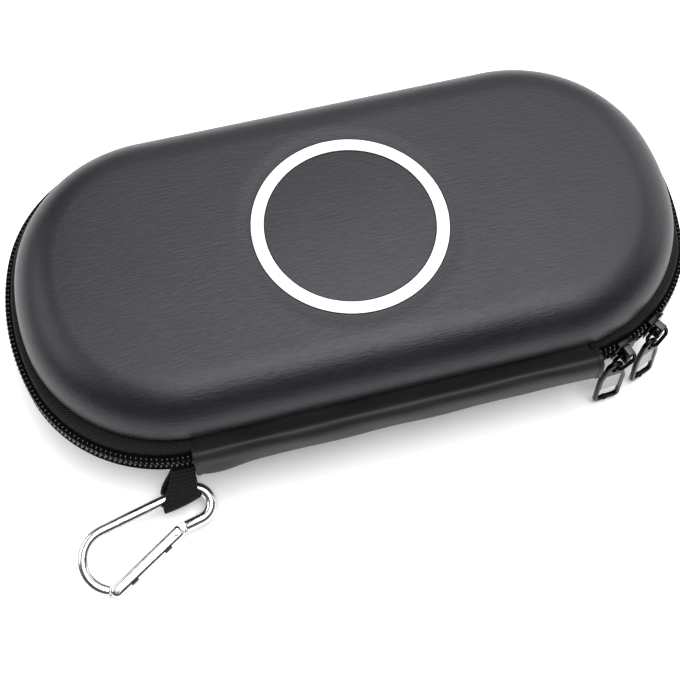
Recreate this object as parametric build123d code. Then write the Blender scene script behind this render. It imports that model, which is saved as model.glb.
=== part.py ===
"""Zip-up hard case for a hand-held game console: two moulded shells joined by a hinge strip and a
coil zip, with two pull sliders and a carabiner on a webbing loop. Millimetres, +Z up, origin in the
middle of the flat bottom, +X along the length, -Y the hinge side."""

import os
from math import acos, atan2, cos, degrees, hypot, radians, sin, sqrt

from build123d import *

# Plan outline, measured over the zip coil: straight sides with three-arc ends
CASE_LENGTH = 200.0
CASE_WIDTH = 101.2
CASE_HEIGHT = 42.0
CORNER_FROM_AXIS = 8.0  # corner centres from the long axis
END_RADIUS = 70.6

# Moulded shells
SHELL_INSET = 4.3  # wall inside the zip's outer line
SHELL_CORNER_EXTRA = 4.0  # the shells' corners are rounder than the zip's
SHELL_WALL = 3.0
SHELL_UPRIGHT = 0.4  # wall left upright between the edge round and the rim
RIM_REACH = 6.6  # rim above or below the mid plane
RIM_ROUND = 0.9

# Round ridge on the lid, with the bonded ring on its crest
RING_OUTER = 27.8
RING_WIDTH = 3.6
RING_THICK = 0.3
RING_SUNK = 0.2
RING_CLEAR = 0.05
RIDGE_HEIGHT = 0.6
RIDGE_SHOULDER = 0.3  # crest beyond the ring on each side
RIDGE_SLOPE = 4.8
DISH_SLOPE = 6.5
DISH_DEPTH = 0.25  # below the crest

# Zip
TAPE_THICK = 0.6
TAPE_OUT = -2.55  # tape behind the coil, from the zip's outer line
TAPE_STRAIGHT = 5.0  # height of the tape's upright part above the mid plane
TAPE_INNER_OUT = -8.9
TAPE_INNER_LOW = 5.9
TAPE_INNER_HIGH = 9.0
PARTING = 0.6  # half the gap between the two coils and tapes
COIL_THICK = 2.2
COIL_HIGH = 3.1
COIL_ROUND = 0.8
PARK_DRAWN_IN = 2.4  # the front right corner is drawn in by the parked sliders
PARK_FROM_AXIS = 4.8
ZIP_START = 7.5  # degrees round the front right corner
UPPER_TAPE_END = 2.6  # degrees left on the front left corner
UPPER_COIL_END = 8.4
LOWER_TAPE_END = 16.5
LOWER_COIL_END = 12.6
PARKING = (7.0, 43.0)  # the upper tape is cut back over the parked sliders
PARKING_IN = -3.6
PARKING_HIGH = 5.5

# Binding over the inner seam
BINDING_INSET = 11.4
BINDING_THICK = 0.8
BINDING_LOW = 5.6
BINDING_HIGH = 9.6

# Hinge strip
STRIP_LEFT_PAST = 0.8  # ends beyond the straight side
STRIP_RIGHT_PAST = 4.4
STRIP_OUT = 2.2  # front face beyond the zip's outer line
STRIP_BULGE = 0.35
STRIP_REACH = 6.3
STRIP_EDGE_OUT = -4.0
STRIP_ROUND = 3.2
STRIP_THICK = 1.2

# Sliders
SLIDER_ANGLES = {"left": 16.6, "right": 32.2}  # degrees round the front right corner
SLIDER_CLEAR = 0.3
PLATE_LENGTH = 10.0
PLATE_HALF_WIDTH = 4.3
PLATE_THICK = 1.0
PLATE_CORNER = 1.8
FLANGE_THICK = 0.85
FLANGE_DEPTH = 2.0
INNER_PLATE_LENGTH = 8.4
INNER_PLATE_HALF_WIDTH = 4.2
INNER_PLATE_OUT = -3.5
POST_LENGTH = 2.4
POST_THICK = 0.5
LUG_AXIS_OUT = 3.75
LUG_BAR_RADIUS = 0.65
LUG_HALF_OPENING = 1.9
LUG_LEG_THICK = 1.2
LUG_HALF_WIDTH = 0.9

# Pull links and tabs
LINK_WIRE = 1.1
LINK_HALF_WIDTH = 1.65
LINK_STRAIGHT = 3.2
LINK_DROOP = 30.0
TAB_THICK = 1.4
TAB_TOP_RADIUS = 2.7
TAB_HALF_WIDTH = 4.2
TAB_WIDE_AT = 5.2
TAB_LENGTH = 17.0  # hole to lower end
TAB_CORNER = 1.6
TAB_HOLE_RADIUS = 1.3
TAB_HANG = 0.4  # hole centre below the link's wire
TAB_LEAN = 1.0
TAB_OUTWARDS = 8.0  # lower end held off the case
TAB_TWIST = 12.0  # right edge outwards
TAB_WINDOW = (5.2, 4.4)
TAB_WINDOW_AT = 13.0
TAB_WINDOW_CORNER = 1.0
TAB_PANEL_DEPTH = 0.25
TAB_PANEL = (5.6, 4.4)
TAB_PANEL_AT = 7.4

# Webbing loop
LOOP_WIDTH = 6.0
LOOP_FROM_STRIP = 5.2  # its middle beyond the strip's left end
LOOP_THICK = 1.1
LOOP_EYE_OUT = 2.7  # eye beyond the zip's outer line
LOOP_EYE_HEIGHT = 7.0
LOOP_EYE_RADIUS = 2.7
LOOP_BEND_IN = 2.0
LOOP_BEND_DROP = 4.3  # below the mid plane
LOOP_APEX_RADIUS = 0.3
LOOP_ROOT_IN = 7.1

# Carabiner: rod bent to a pear shape in its own plane
ROD_RADIUS = 1.65
CARABINER_FROM_LOOP = 1.7
CARABINER_OUT = 2.3
CARABINER_TURN = 13.0
HOOK_RADIUS = 4.6
BIG_END_RADIUS = 8.6
END_DISTANCE = 26.4
REST_HEIGHT = 0.3
NOSE_LENGTH = 5.0
PIVOT_ANGLE = 71.0
ROD_END_ANGLE = 46.0
TONGUE_THICK = 1.2
TONGUE_RADIUS = 1.45
FORK_SLOT = 1.7
FORK_DEPTH = 2.2
GATE_NOSE_GAP = 1.1
LATCH_FORK = 4.2
LATCH_AT = 2.2  # latch rivet from the gate's free end
LATCH_NOTCH = 2.4
LATCH_NOTCH_SHIFT = 0.4
LATCH_TONGUE_LENGTH = 3.8
RIVET_RADIUS = 0.65
RIVET_CLEAR = 0.05
RIVET_LENGTH = 3.7
SPRING_RADIUS = 0.4
SPRING_LENGTH = 8.0
SPRING_BORE = 0.7
SPRING_BORE_SPARE = 1.0  # bore deeper than the spring is long

# Inside
POCKET_THICK = 0.4
POCKET_INSET = 8.4
POCKET_EDGE = 8.0
POCKET_CLEAR = 0.05
ELASTIC_WIDTH = 6.0
ELASTIC_THICK = 1.0
STRAP_WIDTH = 25.0
STRAP_LENGTH = 60.0
STRAP_THICK = 1.0

# Values that follow from the ones above
MID = CASE_HEIGHT / 2
HALF_WIDTH = CASE_WIDTH / 2
END_X = CASE_LENGTH / 2 - END_RADIUS
CORNER_Y = CORNER_FROM_AXIS
CORNER_RADIUS = HALF_WIDTH - CORNER_Y
CORNER_X = END_X + sqrt((END_RADIUS - CORNER_RADIUS) ** 2 - CORNER_Y**2)
BLEND = degrees(atan2(CORNER_Y, CORNER_X - END_X))
PARK_Y = PARK_FROM_AXIS
PARK_RADIUS = HALF_WIDTH - PARK_DRAWN_IN - PARK_Y
PARK_X = END_X + sqrt((END_RADIUS - PARK_RADIUS) ** 2 - PARK_Y**2)
PARK_BLEND = degrees(atan2(PARK_Y, PARK_X - END_X))
LID_TOP = CASE_HEIGHT - RIDGE_HEIGHT - RING_THICK + RING_SUNK
LID_RIM = MID + RIM_REACH
SHELL_EDGE_ROUND = LID_TOP - LID_RIM - SHELL_UPRIGHT
STRIP_LEFT = -CORNER_X - STRIP_LEFT_PAST
STRIP_RIGHT = PARK_X + STRIP_RIGHT_PAST
LOOP_MIDDLE = STRIP_LEFT - LOOP_FROM_STRIP
LOOP_EYE = (-HALF_WIDTH - LOOP_EYE_OUT, LOOP_EYE_HEIGHT)
LOOP_BEND = (-HALF_WIDTH + LOOP_BEND_IN, MID - LOOP_BEND_DROP)
LOOP_ROOT = -HALF_WIDTH + LOOP_ROOT_IN
CARABINER_AT = (LOOP_MIDDLE + CARABINER_FROM_LOOP, -HALF_WIDTH - CARABINER_OUT, LOOP_EYE_HEIGHT)


def outline(inset):
    """Plan face of the shells' outline, which is their inset from the zip's outer line."""
    corner = CORNER_RADIUS + SHELL_CORNER_EXTRA - inset
    end = END_RADIUS - inset
    side = HALF_WIDTH - inset
    corner_y = side - corner
    corner_x = END_X + sqrt((end - corner) ** 2 - corner_y**2)
    blend = degrees(atan2(corner_y, corner_x - END_X))
    turn = 90 - blend
    edges = [
        Line((-corner_x, -side), (corner_x, -side)),
        CenterArc((corner_x, -corner_y), corner, -90, turn),
        CenterArc((END_X, 0), end, -blend, 2 * blend),
        CenterArc((corner_x, corner_y), corner, blend, turn),
        Line((corner_x, side), (-corner_x, side)),
        CenterArc((-corner_x, corner_y), corner, 90, turn),
        CenterArc((-END_X, 0), end, 180 - blend, 2 * blend),
        CenterArc((-corner_x, -corner_y), corner, 180 + blend, turn),
    ]
    return make_face(edges)


def mirrored(shape):
    """The same piece on the other side of the mid plane."""
    return mirror(shape, about=Plane.XY.offset(MID))


def tray(top):
    """Hollow moulding, open downwards at the lid's rim, with its flat top at the given height."""
    height = top - LID_RIM
    outer = extrude(outline(SHELL_INSET), height)
    outer = fillet(outer.edges().group_by(Axis.Z)[-1], SHELL_EDGE_ROUND)
    outer = fillet(outer.edges().group_by(Axis.Z)[0], RIM_ROUND)
    inner = extrude(outline(SHELL_INSET + SHELL_WALL), height - SHELL_WALL)
    inner = fillet(inner.edges().group_by(Axis.Z)[-1], SHELL_EDGE_ROUND - SHELL_WALL)
    return Pos(0, 0, LID_RIM) * (outer - inner)


def ridge():
    """Disc with the raised ridge, the shallow dish inside it and the seat of the ring."""
    crest = LID_TOP + RIDGE_HEIGHT
    crest_out = RING_OUTER + RIDGE_SHOULDER
    crest_in = RING_OUTER - RING_WIDTH - RIDGE_SHOULDER
    foot_out = crest_out + RIDGE_SLOPE
    foot_in = crest_in - DISH_SLOPE
    low = LID_TOP - SHELL_WALL / 2
    dish = crest - DISH_DEPTH
    level = ((-1, 0, 0), (-1, 0, 0))
    edges = [
        Line((0, 0, low), (foot_out, 0, low)),
        Line((foot_out, 0, low), (foot_out, 0, LID_TOP)),
        Spline((foot_out, 0, LID_TOP), (crest_out, 0, crest), tangents=level),
        Line((crest_out, 0, crest), (crest_in, 0, crest)),
        Spline((crest_in, 0, crest), (foot_in, 0, dish), tangents=level),
        Line((foot_in, 0, dish), (0, 0, dish)),
        Line((0, 0, dish), (0, 0, low)),
    ]
    disc = revolve(make_face(edges), Axis.Z, 360)
    bore = Pos(0, 0, low) * extrude(Circle(foot_out), CASE_HEIGHT)
    seat = Circle(RING_OUTER + RING_CLEAR) - Circle(RING_OUTER - RING_WIDTH - RING_CLEAR)
    groove = Pos(0, 0, crest - RING_SUNK) * extrude(seat, RING_THICK)
    return bore, disc - groove


def upper_shell():
    bore, disc = ridge()
    return tray(LID_TOP) - bore + disc


def lower_shell():
    return mirrored(tray(CASE_HEIGHT))


def top_ring():
    seat = LID_TOP + RIDGE_HEIGHT - RING_SUNK
    face = Circle(RING_OUTER) - Circle(RING_OUTER - RING_WIDTH)
    return Pos(0, 0, seat) * extrude(face, RING_THICK)


def around(section, centre, radius, start, sweep):
    """Section of (out, z) points carried round an arc of the zip's outer line."""
    points = [(radius + out, 0, z) for out, z in section]
    turned = revolve(make_face(Polyline(*points, close=True)), Axis.Z, sweep)
    return Pos(*centre) * Rot(0, 0, start) * turned


def zip_run(section, left_end):
    """Section carried from the strip's right end round the back to the front left corner."""
    turn = 90 - BLEND
    back = [(CORNER_X, HALF_WIDTH + out, z) for out, z in section]
    straight = extrude(make_face(Polyline(*back, close=True)), 2 * CORNER_X, dir=(-1, 0, 0))
    return Part() + [
        around(section, (PARK_X, -PARK_Y), PARK_RADIUS, ZIP_START - 90, 90 - PARK_BLEND - ZIP_START),
        around(section, (END_X, 0), END_RADIUS, -PARK_BLEND, PARK_BLEND + BLEND),
        around(section, (CORNER_X, CORNER_Y), CORNER_RADIUS, BLEND, turn),
        straight,
        around(section, (-CORNER_X, CORNER_Y), CORNER_RADIUS, 90, turn),
        around(section, (-END_X, 0), END_RADIUS, 180 - BLEND, 2 * BLEND),
        around(section, (-CORNER_X, -CORNER_Y), CORNER_RADIUS, 180 + BLEND, turn - left_end),
    ]


def parking_cut():
    """Space kept clear of the lid's zip half where the two sliders are parked."""
    section = [(PARKING_IN, 0), (COIL_THICK, 0), (COIL_THICK, PARKING_HIGH), (PARKING_IN, PARKING_HIGH)]
    section = [(out, MID + z) for out, z in section]
    start, end = PARKING
    return around(section, (PARK_X, -PARK_Y), PARK_RADIUS, start - 90, end - start)


def tape(left_end):
    """Upper zip tape: upright behind the coil, sloping in under the rim, then up the inner wall."""
    half = TAPE_THICK / 2
    section = [
        (TAPE_OUT + half, PARTING),
        (TAPE_OUT + half, TAPE_STRAIGHT + half),
        (TAPE_INNER_OUT + half, TAPE_INNER_LOW + half),
        (TAPE_INNER_OUT + half, TAPE_INNER_HIGH),
        (TAPE_INNER_OUT - half, TAPE_INNER_HIGH),
        (TAPE_INNER_OUT - half, TAPE_INNER_LOW - half),
        (TAPE_OUT - half, TAPE_STRAIGHT - half),
        (TAPE_OUT - half, PARTING),
    ]
    return zip_run([(out, MID + z) for out, z in section], left_end)


def coil(left_end):
    """Upper zip coil as a plain band with its outer edge chamfered."""
    section = [
        (-COIL_THICK, PARTING),
        (0, PARTING),
        (0, COIL_HIGH - COIL_ROUND),
        (-COIL_ROUND, COIL_HIGH),
        (-COIL_THICK, COIL_HIGH),
    ]
    return zip_run([(out, MID + z) for out, z in section], left_end)


def binding():
    """Upper binding tape, closed all round the inside of the rim."""
    face = outline(BINDING_INSET) - outline(BINDING_INSET + BINDING_THICK)
    return Pos(0, 0, MID + BINDING_LOW) * extrude(face, BINDING_HIGH - BINDING_LOW)


def hinge_strip():
    """Bulged spine from one rim to the other, as a bent sheet of constant thickness."""
    front = -HALF_WIDTH - STRIP_OUT
    edge = -HALF_WIDTH - STRIP_EDGE_OUT

    def bent(inwards):
        face = front + inwards
        reach = STRIP_REACH - inwards
        turn = STRIP_ROUND - inwards
        bend_y = front + STRIP_ROUND
        bend_z = STRIP_REACH - STRIP_ROUND
        lean = turn * sqrt(0.5)
        return [
            Line((0, edge, MID + reach), (0, bend_y, MID + reach)),
            ThreePointArc(
                (0, bend_y, MID + reach),
                (0, bend_y - lean, MID + bend_z + lean),
                (0, face, MID + bend_z),
            ),
            ThreePointArc(
                (0, face, MID + bend_z), (0, face - STRIP_BULGE, MID), (0, face, MID - bend_z)
            ),
            ThreePointArc(
                (0, face, MID - bend_z),
                (0, bend_y - lean, MID - bend_z - lean),
                (0, bend_y, MID - reach),
            ),
            Line((0, bend_y, MID - reach), (0, edge, MID - reach)),
        ]

    inner_reach = STRIP_REACH - STRIP_THICK
    ends = [
        Line((0, edge, MID + STRIP_REACH), (0, edge, MID + inner_reach)),
        Line((0, edge, MID - STRIP_REACH), (0, edge, MID - inner_reach)),
    ]
    face = make_face(bent(0) + bent(STRIP_THICK) + ends)
    return Pos(STRIP_LEFT, 0, 0) * extrude(face, STRIP_RIGHT - STRIP_LEFT, dir=(1, 0, 0))


def block(x_span, out_span, z_span):
    """Box at the front of the right corner's axis, given by spans along, outwards and up."""
    centre = [sum(span) / 2 for span in (x_span, out_span, z_span)]
    size = [abs(span[1] - span[0]) for span in (x_span, out_span, z_span)]
    return Pos(centre[0], -PARK_RADIUS - centre[1], MID + centre[2]) * Box(*size)


def on_corner(shape, side):
    """Piece built on the corner's axis, moved to where its slider is parked."""
    return Pos(PARK_X, -PARK_Y) * Rot(0, 0, SLIDER_ANGLES[side]) * shape


def slider(side):
    """Die-cast slider: outer plate with two flanges and a lug, post and inner plate."""
    half = PLATE_LENGTH / 2
    wide = PLATE_HALF_WIDTH
    face = SLIDER_CLEAR + PLATE_THICK
    plate = block((-half, half), (SLIDER_CLEAR, face), (-wide, wide))
    plate = fillet(plate.edges().filter_by(Axis.Y), PLATE_CORNER)
    span = (PLATE_CORNER - half, half - PLATE_CORNER)
    depth = (SLIDER_CLEAR - FLANGE_DEPTH, SLIDER_CLEAR)
    upper_flange = block(span, depth, (wide - FLANGE_THICK, wide))
    lower_flange = block(span, depth, (-wide, FLANGE_THICK - wide))
    inner_half = INNER_PLATE_LENGTH / 2
    inner_wide = INNER_PLATE_HALF_WIDTH
    inner = block(
        (-inner_half, inner_half),
        (INNER_PLATE_OUT - PLATE_THICK, INNER_PLATE_OUT),
        (-inner_wide, inner_wide),
    )
    inner = fillet(inner.edges().filter_by(Axis.Y), PLATE_CORNER)
    towards = 1 if side == "left" else -1
    post_far = towards * (inner_half - PLATE_THICK)
    post_near = post_far - towards * POST_LENGTH
    thin = POST_THICK / 2
    post = block(sorted((post_near, post_far)), (INNER_PLATE_OUT, SLIDER_CLEAR), (-thin, thin))
    lug_top = LUG_HALF_OPENING + LUG_LEG_THICK
    lug_span = (-LUG_HALF_WIDTH, LUG_HALF_WIDTH)
    lug_out = (face, LUG_AXIS_OUT + LUG_BAR_RADIUS)
    upper_leg = block(lug_span, lug_out, (LUG_HALF_OPENING, lug_top))
    lower_leg = block(lug_span, lug_out, (-lug_top, -LUG_HALF_OPENING))
    bar = Cylinder(LUG_BAR_RADIUS, 2 * LUG_HALF_OPENING + LUG_LEG_THICK)
    bar = Pos(0, -PARK_RADIUS - LUG_AXIS_OUT, MID) * bar
    pieces = [upper_flange, lower_flange, inner, post, upper_leg, lower_leg, bar]
    return on_corner(plate + pieces, side)


def link_frame():
    """Place of a pull link: on the lug's bar, drooping to the left."""
    return Pos(0, -PARK_RADIUS - LUG_AXIS_OUT, MID) * Rot(0, -LINK_DROOP, 0)


def pull_link(side):
    """Oval wire ring round the lug's bar."""
    wire = LINK_WIRE / 2
    bend = revolve(Pos(LINK_HALF_WIDTH, 0, 0) * Rot(90, 0, 0) * Circle(wire), Axis.Z, 180)
    leg = Rot(0, 90, 0) * Cylinder(wire, LINK_STRAIGHT)
    middle = -LINK_STRAIGHT / 2
    ring = Part() + [
        Rot(0, 0, -90) * bend,
        Pos(-LINK_STRAIGHT, 0, 0) * Rot(0, 0, 90) * bend,
        Pos(middle, LINK_HALF_WIDTH, 0) * leg,
        Pos(middle, -LINK_HALF_WIDTH, 0) * leg,
    ]
    return on_corner(link_frame() * ring, side)


def pull_tab(side):
    """Flat tab hanging on the link's far end: hole, sunk panels and a window near the lower end."""
    top = Circle(TAB_TOP_RADIUS)
    sides = Polygon(
        (-TAB_TOP_RADIUS, 0),
        (-TAB_HALF_WIDTH, -TAB_WIDE_AT),
        (-TAB_HALF_WIDTH, -TAB_LENGTH),
        (TAB_HALF_WIDTH, -TAB_LENGTH),
        (TAB_HALF_WIDTH, -TAB_WIDE_AT),
        (TAB_TOP_RADIUS, 0),
        align=None,
    )
    sides = fillet(sides.vertices().group_by(Axis.Y)[0], TAB_CORNER)
    window = Pos(0, -TAB_WINDOW_AT) * RectangleRounded(*TAB_WINDOW, TAB_WINDOW_CORNER)
    plate = extrude(top + sides - Circle(TAB_HOLE_RADIUS) - window, TAB_THICK / 2, both=True)
    panel = Pos(0, -TAB_PANEL_AT) * RectangleRounded(*TAB_PANEL, TAB_WINDOW_CORNER)
    recess = extrude(panel, TAB_PANEL_DEPTH)
    plate = plate - Pos(0, 0, TAB_THICK / 2 - TAB_PANEL_DEPTH) * recess
    plate = plate - Pos(0, 0, -TAB_THICK / 2) * recess
    hung = Rot(0, TAB_LEAN, 0) * Rot(90, 0, 0) * Pos(0, -TAB_HANG, 0) * plate
    hung = Rot(0, 0, -TAB_TWIST) * Rot(-TAB_OUTWARDS, 0, 0) * hung
    far = LINK_STRAIGHT + LINK_HALF_WIDTH
    drop = radians(LINK_DROOP)
    at = Pos(-far * cos(drop), -PARK_RADIUS - LUG_AXIS_OUT, MID - far * sin(drop))
    return on_corner(at * hung, side)


def teardrop(start, start_radius, end, end_radius):
    """Plane outline round two circles and their outer tangents."""
    along = atan2(end[1] - start[1], end[0] - start[0])
    swing = acos((start_radius - end_radius) / hypot(end[0] - start[0], end[1] - start[1]))

    def touch(centre, radius, angle):
        return (centre[0] + radius * cos(angle), centre[1] + radius * sin(angle))

    corners = [
        touch(start, start_radius, along + swing),
        touch(end, end_radius, along + swing),
        touch(end, end_radius, along - swing),
        touch(start, start_radius, along - swing),
    ]
    round_ends = Pos(*start) * Circle(start_radius) + Pos(*end) * Circle(end_radius)
    return Polygon(*corners, align=None) + round_ends


def webbing_loop():
    """Doubled webbing coming out beside the strip, round the carabiner's rod and back."""
    run = hypot(LOOP_EYE[0] - LOOP_BEND[0], LOOP_EYE[1] - LOOP_BEND[1])
    taper = LOOP_EYE_RADIUS / run
    apex = LOOP_APEX_RADIUS / taper
    share = apex / run
    apex_at = tuple(b + share * (e - b) for b, e in zip(LOOP_BEND, LOOP_EYE))
    outside = teardrop(LOOP_BEND, LOOP_THICK, LOOP_EYE, LOOP_EYE_RADIUS + LOOP_THICK)
    inside = teardrop(apex_at, LOOP_APEX_RADIUS, LOOP_EYE, LOOP_EYE_RADIUS)
    root_length = LOOP_ROOT - LOOP_BEND[0]
    root = Pos(LOOP_BEND[0] + root_length / 2, LOOP_BEND[1])
    face = outside + root * Rectangle(root_length, 2 * LOOP_THICK) - inside
    return Pos(LOOP_MIDDLE, 0, 0) * extrude(Plane.YZ * face, LOOP_WIDTH / 2, both=True)


def in_carabiner(shape):
    """Piece drawn in the carabiner's plane (x along the spine, y outwards), set on the case."""
    turn = radians(CARABINER_TURN)
    fall = (CARABINER_AT[2] - ROD_RADIUS - REST_HEIGHT) / (2 * BIG_END_RADIUS)
    level = sqrt(1 - fall**2)
    along = Vector(-cos(turn), -sin(turn), 0)
    outwards = Vector(sin(turn) * level, -cos(turn) * level, -fall)
    plane = Plane(CARABINER_AT, x_dir=along, z_dir=along.cross(outwards))
    return plane.location * shape


def on_big_end(angle, radius=BIG_END_RADIUS):
    at = radians(angle)
    return Vector(END_DISTANCE + radius * cos(at), BIG_END_RADIUS + radius * sin(at))


PIVOT = on_big_end(PIVOT_ANGLE)
NOSE = Vector(NOSE_LENGTH, 2 * HOOK_RADIUS)
GATE_TIP = NOSE + Vector(GATE_NOSE_GAP, 0)
GATE_TURN = degrees(atan2(PIVOT.Y - GATE_TIP.Y, PIVOT.X - GATE_TIP.X))
GATE_LENGTH = (PIVOT - GATE_TIP).length


def in_gate(shape):
    """Piece drawn along the gate: x from its free end to its pivot."""
    return Pos(GATE_TIP.X, GATE_TIP.Y) * Rot(0, 0, GATE_TURN) * shape


def plate_in_plane(face, thick):
    return extrude(face, thick / 2, both=True)


def carabiner_hook():
    """Bent rod with a notched tongue at the nose and a bored tongue at the gate's pivot."""
    path = Wire(
        [
            Line((NOSE.X, NOSE.Y), (0, NOSE.Y)),
            CenterArc((0, HOOK_RADIUS), HOOK_RADIUS, 90, 180),
            Line((0, 0), (END_DISTANCE, 0)),
            CenterArc((END_DISTANCE, BIG_END_RADIUS), BIG_END_RADIUS, -90, 90 + ROD_END_ANGLE),
        ]
    )
    start = Plane((NOSE.X, NOSE.Y, 0), x_dir=(0, 1, 0), z_dir=(-1, 0, 0))
    rod = sweep(start * Circle(ROD_RADIUS), path)
    neck = (PIVOT_ANGLE - ROD_END_ANGLE) / 2
    chord = 2 * BIG_END_RADIUS * sin(radians(neck))
    middle = on_big_end(PIVOT_ANGLE - neck, BIG_END_RADIUS * cos(radians(neck)))
    bar = Pos(middle.X, middle.Y) * Rot(0, 0, PIVOT_ANGLE - neck + 90)
    reach = chord + ROD_RADIUS
    foot = bar * Pos(-ROD_RADIUS / 2, 0) * Rectangle(reach, 2 * TONGUE_RADIUS)
    eye = Pos(PIVOT.X, PIVOT.Y)
    pivot_tongue = foot + eye * Circle(TONGUE_RADIUS) - eye * Circle(RIVET_RADIUS + RIVET_CLEAR)
    seat = RIVET_RADIUS + RIVET_CLEAR
    cover = LATCH_TONGUE_LENGTH + GATE_NOSE_GAP
    nose_tongue = Pos(cover / 2 - GATE_NOSE_GAP, 0) * Rectangle(cover, 2 * TONGUE_RADIUS)
    notch_depth = 2 * ROD_RADIUS
    notch = Pos(LATCH_AT + LATCH_NOTCH_SHIFT, seat - notch_depth / 2)
    nose_tongue = nose_tongue - notch * Rectangle(LATCH_NOTCH, notch_depth)
    root = Pos(NOSE.X, NOSE.Y) * Rectangle(2 * GATE_NOSE_GAP, 2 * TONGUE_RADIUS)
    tongues = plate_in_plane(pivot_tongue, TONGUE_THICK)
    tongues = tongues + plate_in_plane(in_gate(nose_tongue) + root, TONGUE_THICK)
    return in_carabiner(rod + tongues)


def carabiner_gate():
    """Round gate, forked at both ends, cross-drilled for its rivets and bored for its spring."""
    from_end = (Align.CENTER, Align.CENTER, Align.MIN)
    body = Rot(0, 90, 0) * Cylinder(ROD_RADIUS, GATE_LENGTH, align=from_end)
    body = body + Pos(GATE_LENGTH, 0, 0) * Sphere(ROD_RADIUS)
    wide = 4 * ROD_RADIUS
    latch_slot = Pos(LATCH_FORK / 2, 0, 0) * Box(LATCH_FORK, wide, FORK_SLOT)
    pivot_length = FORK_DEPTH + wide
    pivot_at = GATE_LENGTH - FORK_DEPTH + pivot_length / 2
    pivot_slot = Pos(pivot_at, 0, 0) * Box(pivot_length, wide, FORK_SLOT)
    hole = Cylinder(RIVET_RADIUS + RIVET_CLEAR, wide)
    bore_end = GATE_LENGTH - FORK_DEPTH
    bore_length = SPRING_LENGTH + SPRING_BORE_SPARE
    bore = Cylinder(SPRING_BORE, bore_length, align=(Align.CENTER, Align.CENTER, Align.MAX))
    bore = Pos(bore_end, 0, 0) * Rot(0, 90, 0) * bore
    latch_hole = Pos(LATCH_AT, 0, 0) * hole
    pivot_hole = Pos(GATE_LENGTH, 0, 0) * hole
    cuts = [latch_slot, pivot_slot, latch_hole, pivot_hole, bore]
    return in_carabiner(in_gate(body - cuts))


def rivet(along):
    """Plain rivet across the gate."""
    return in_carabiner(in_gate(Pos(along, 0, 0) * Cylinder(RIVET_RADIUS, RIVET_LENGTH)))


def gate_spring():
    """Straight spring wire in the gate's bore."""
    wire = Cylinder(SPRING_RADIUS, SPRING_LENGTH, align=(Align.CENTER, Align.CENTER, Align.MAX))
    return in_carabiner(in_gate(Pos(GATE_LENGTH - FORK_DEPTH, 0, 0) * Rot(0, 90, 0) * wire))


def lid_layer(low, high):
    """Part of the lid's mouth between two lines across it, on top of the binding."""
    middle = (low + high) / 2
    return outline(POCKET_INSET) & (Pos(0, middle) * Rectangle(CASE_LENGTH, high - low))


def mesh_pocket():
    layer = lid_layer(-CASE_WIDTH, POCKET_EDGE)
    return Pos(0, 0, MID + BINDING_HIGH + POCKET_CLEAR) * extrude(layer, POCKET_THICK)


def pocket_elastic():
    layer = lid_layer(POCKET_EDGE, POCKET_EDGE + ELASTIC_WIDTH)
    return Pos(0, 0, MID + BINDING_HIGH + POCKET_CLEAR) * extrude(layer, ELASTIC_THICK)


def holding_strap():
    return Pos(0, 0, SHELL_WALL + STRAP_THICK / 2) * Box(STRAP_WIDTH, STRAP_LENGTH, STRAP_THICK)


NODES = {
    "upper_shell": upper_shell(),
    "lower_shell": lower_shell(),
    "top_ring": top_ring(),
    "upper_tape": tape(UPPER_TAPE_END) - parking_cut(),
    "lower_tape": mirrored(tape(LOWER_TAPE_END)),
    "upper_coil": coil(UPPER_COIL_END) - parking_cut(),
    "lower_coil": mirrored(coil(LOWER_COIL_END)),
    "upper_binding": binding(),
    "lower_binding": mirrored(binding()),
    "hinge_strip": hinge_strip(),
    "left_slider": slider("left"),
    "right_slider": slider("right"),
    "left_pull_link": pull_link("left"),
    "right_pull_link": pull_link("right"),
    "left_pull_tab": pull_tab("left"),
    "right_pull_tab": pull_tab("right"),
    "webbing_loop": webbing_loop(),
    "carabiner_hook": carabiner_hook(),
    "carabiner_gate": carabiner_gate(),
    "gate_pivot_rivet": rivet(GATE_LENGTH),
    "gate_latch_rivet": rivet(LATCH_AT),
    "gate_spring": gate_spring(),
    "mesh_pocket": mesh_pocket(),
    "pocket_elastic": pocket_elastic(),
    "holding_strap": holding_strap(),
}

os.makedirs("parts", exist_ok=True)
for name, shape in NODES.items():
    export_step(shape, f"parts/{name}.step")
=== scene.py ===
"""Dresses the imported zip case: moulded leather shells, woven zip, metal pulls and carabiner."""
from math import atan2, cos, degrees, exp, hypot, pi, radians, sin, sqrt

import bpy
from mathutils import Matrix, Vector


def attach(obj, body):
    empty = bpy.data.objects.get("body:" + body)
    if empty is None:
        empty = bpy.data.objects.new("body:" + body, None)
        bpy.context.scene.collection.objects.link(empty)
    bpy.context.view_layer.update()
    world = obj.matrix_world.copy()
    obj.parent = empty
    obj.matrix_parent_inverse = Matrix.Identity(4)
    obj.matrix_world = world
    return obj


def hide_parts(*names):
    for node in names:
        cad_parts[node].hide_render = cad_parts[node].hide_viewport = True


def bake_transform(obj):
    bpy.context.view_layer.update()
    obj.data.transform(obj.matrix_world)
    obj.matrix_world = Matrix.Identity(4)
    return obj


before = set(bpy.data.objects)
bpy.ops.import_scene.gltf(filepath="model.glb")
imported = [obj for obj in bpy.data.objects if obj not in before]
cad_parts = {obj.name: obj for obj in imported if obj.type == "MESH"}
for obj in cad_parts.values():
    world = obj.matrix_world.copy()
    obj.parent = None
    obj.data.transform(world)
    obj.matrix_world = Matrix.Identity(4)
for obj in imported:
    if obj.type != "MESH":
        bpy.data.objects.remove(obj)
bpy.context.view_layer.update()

MM = 0.001

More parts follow.
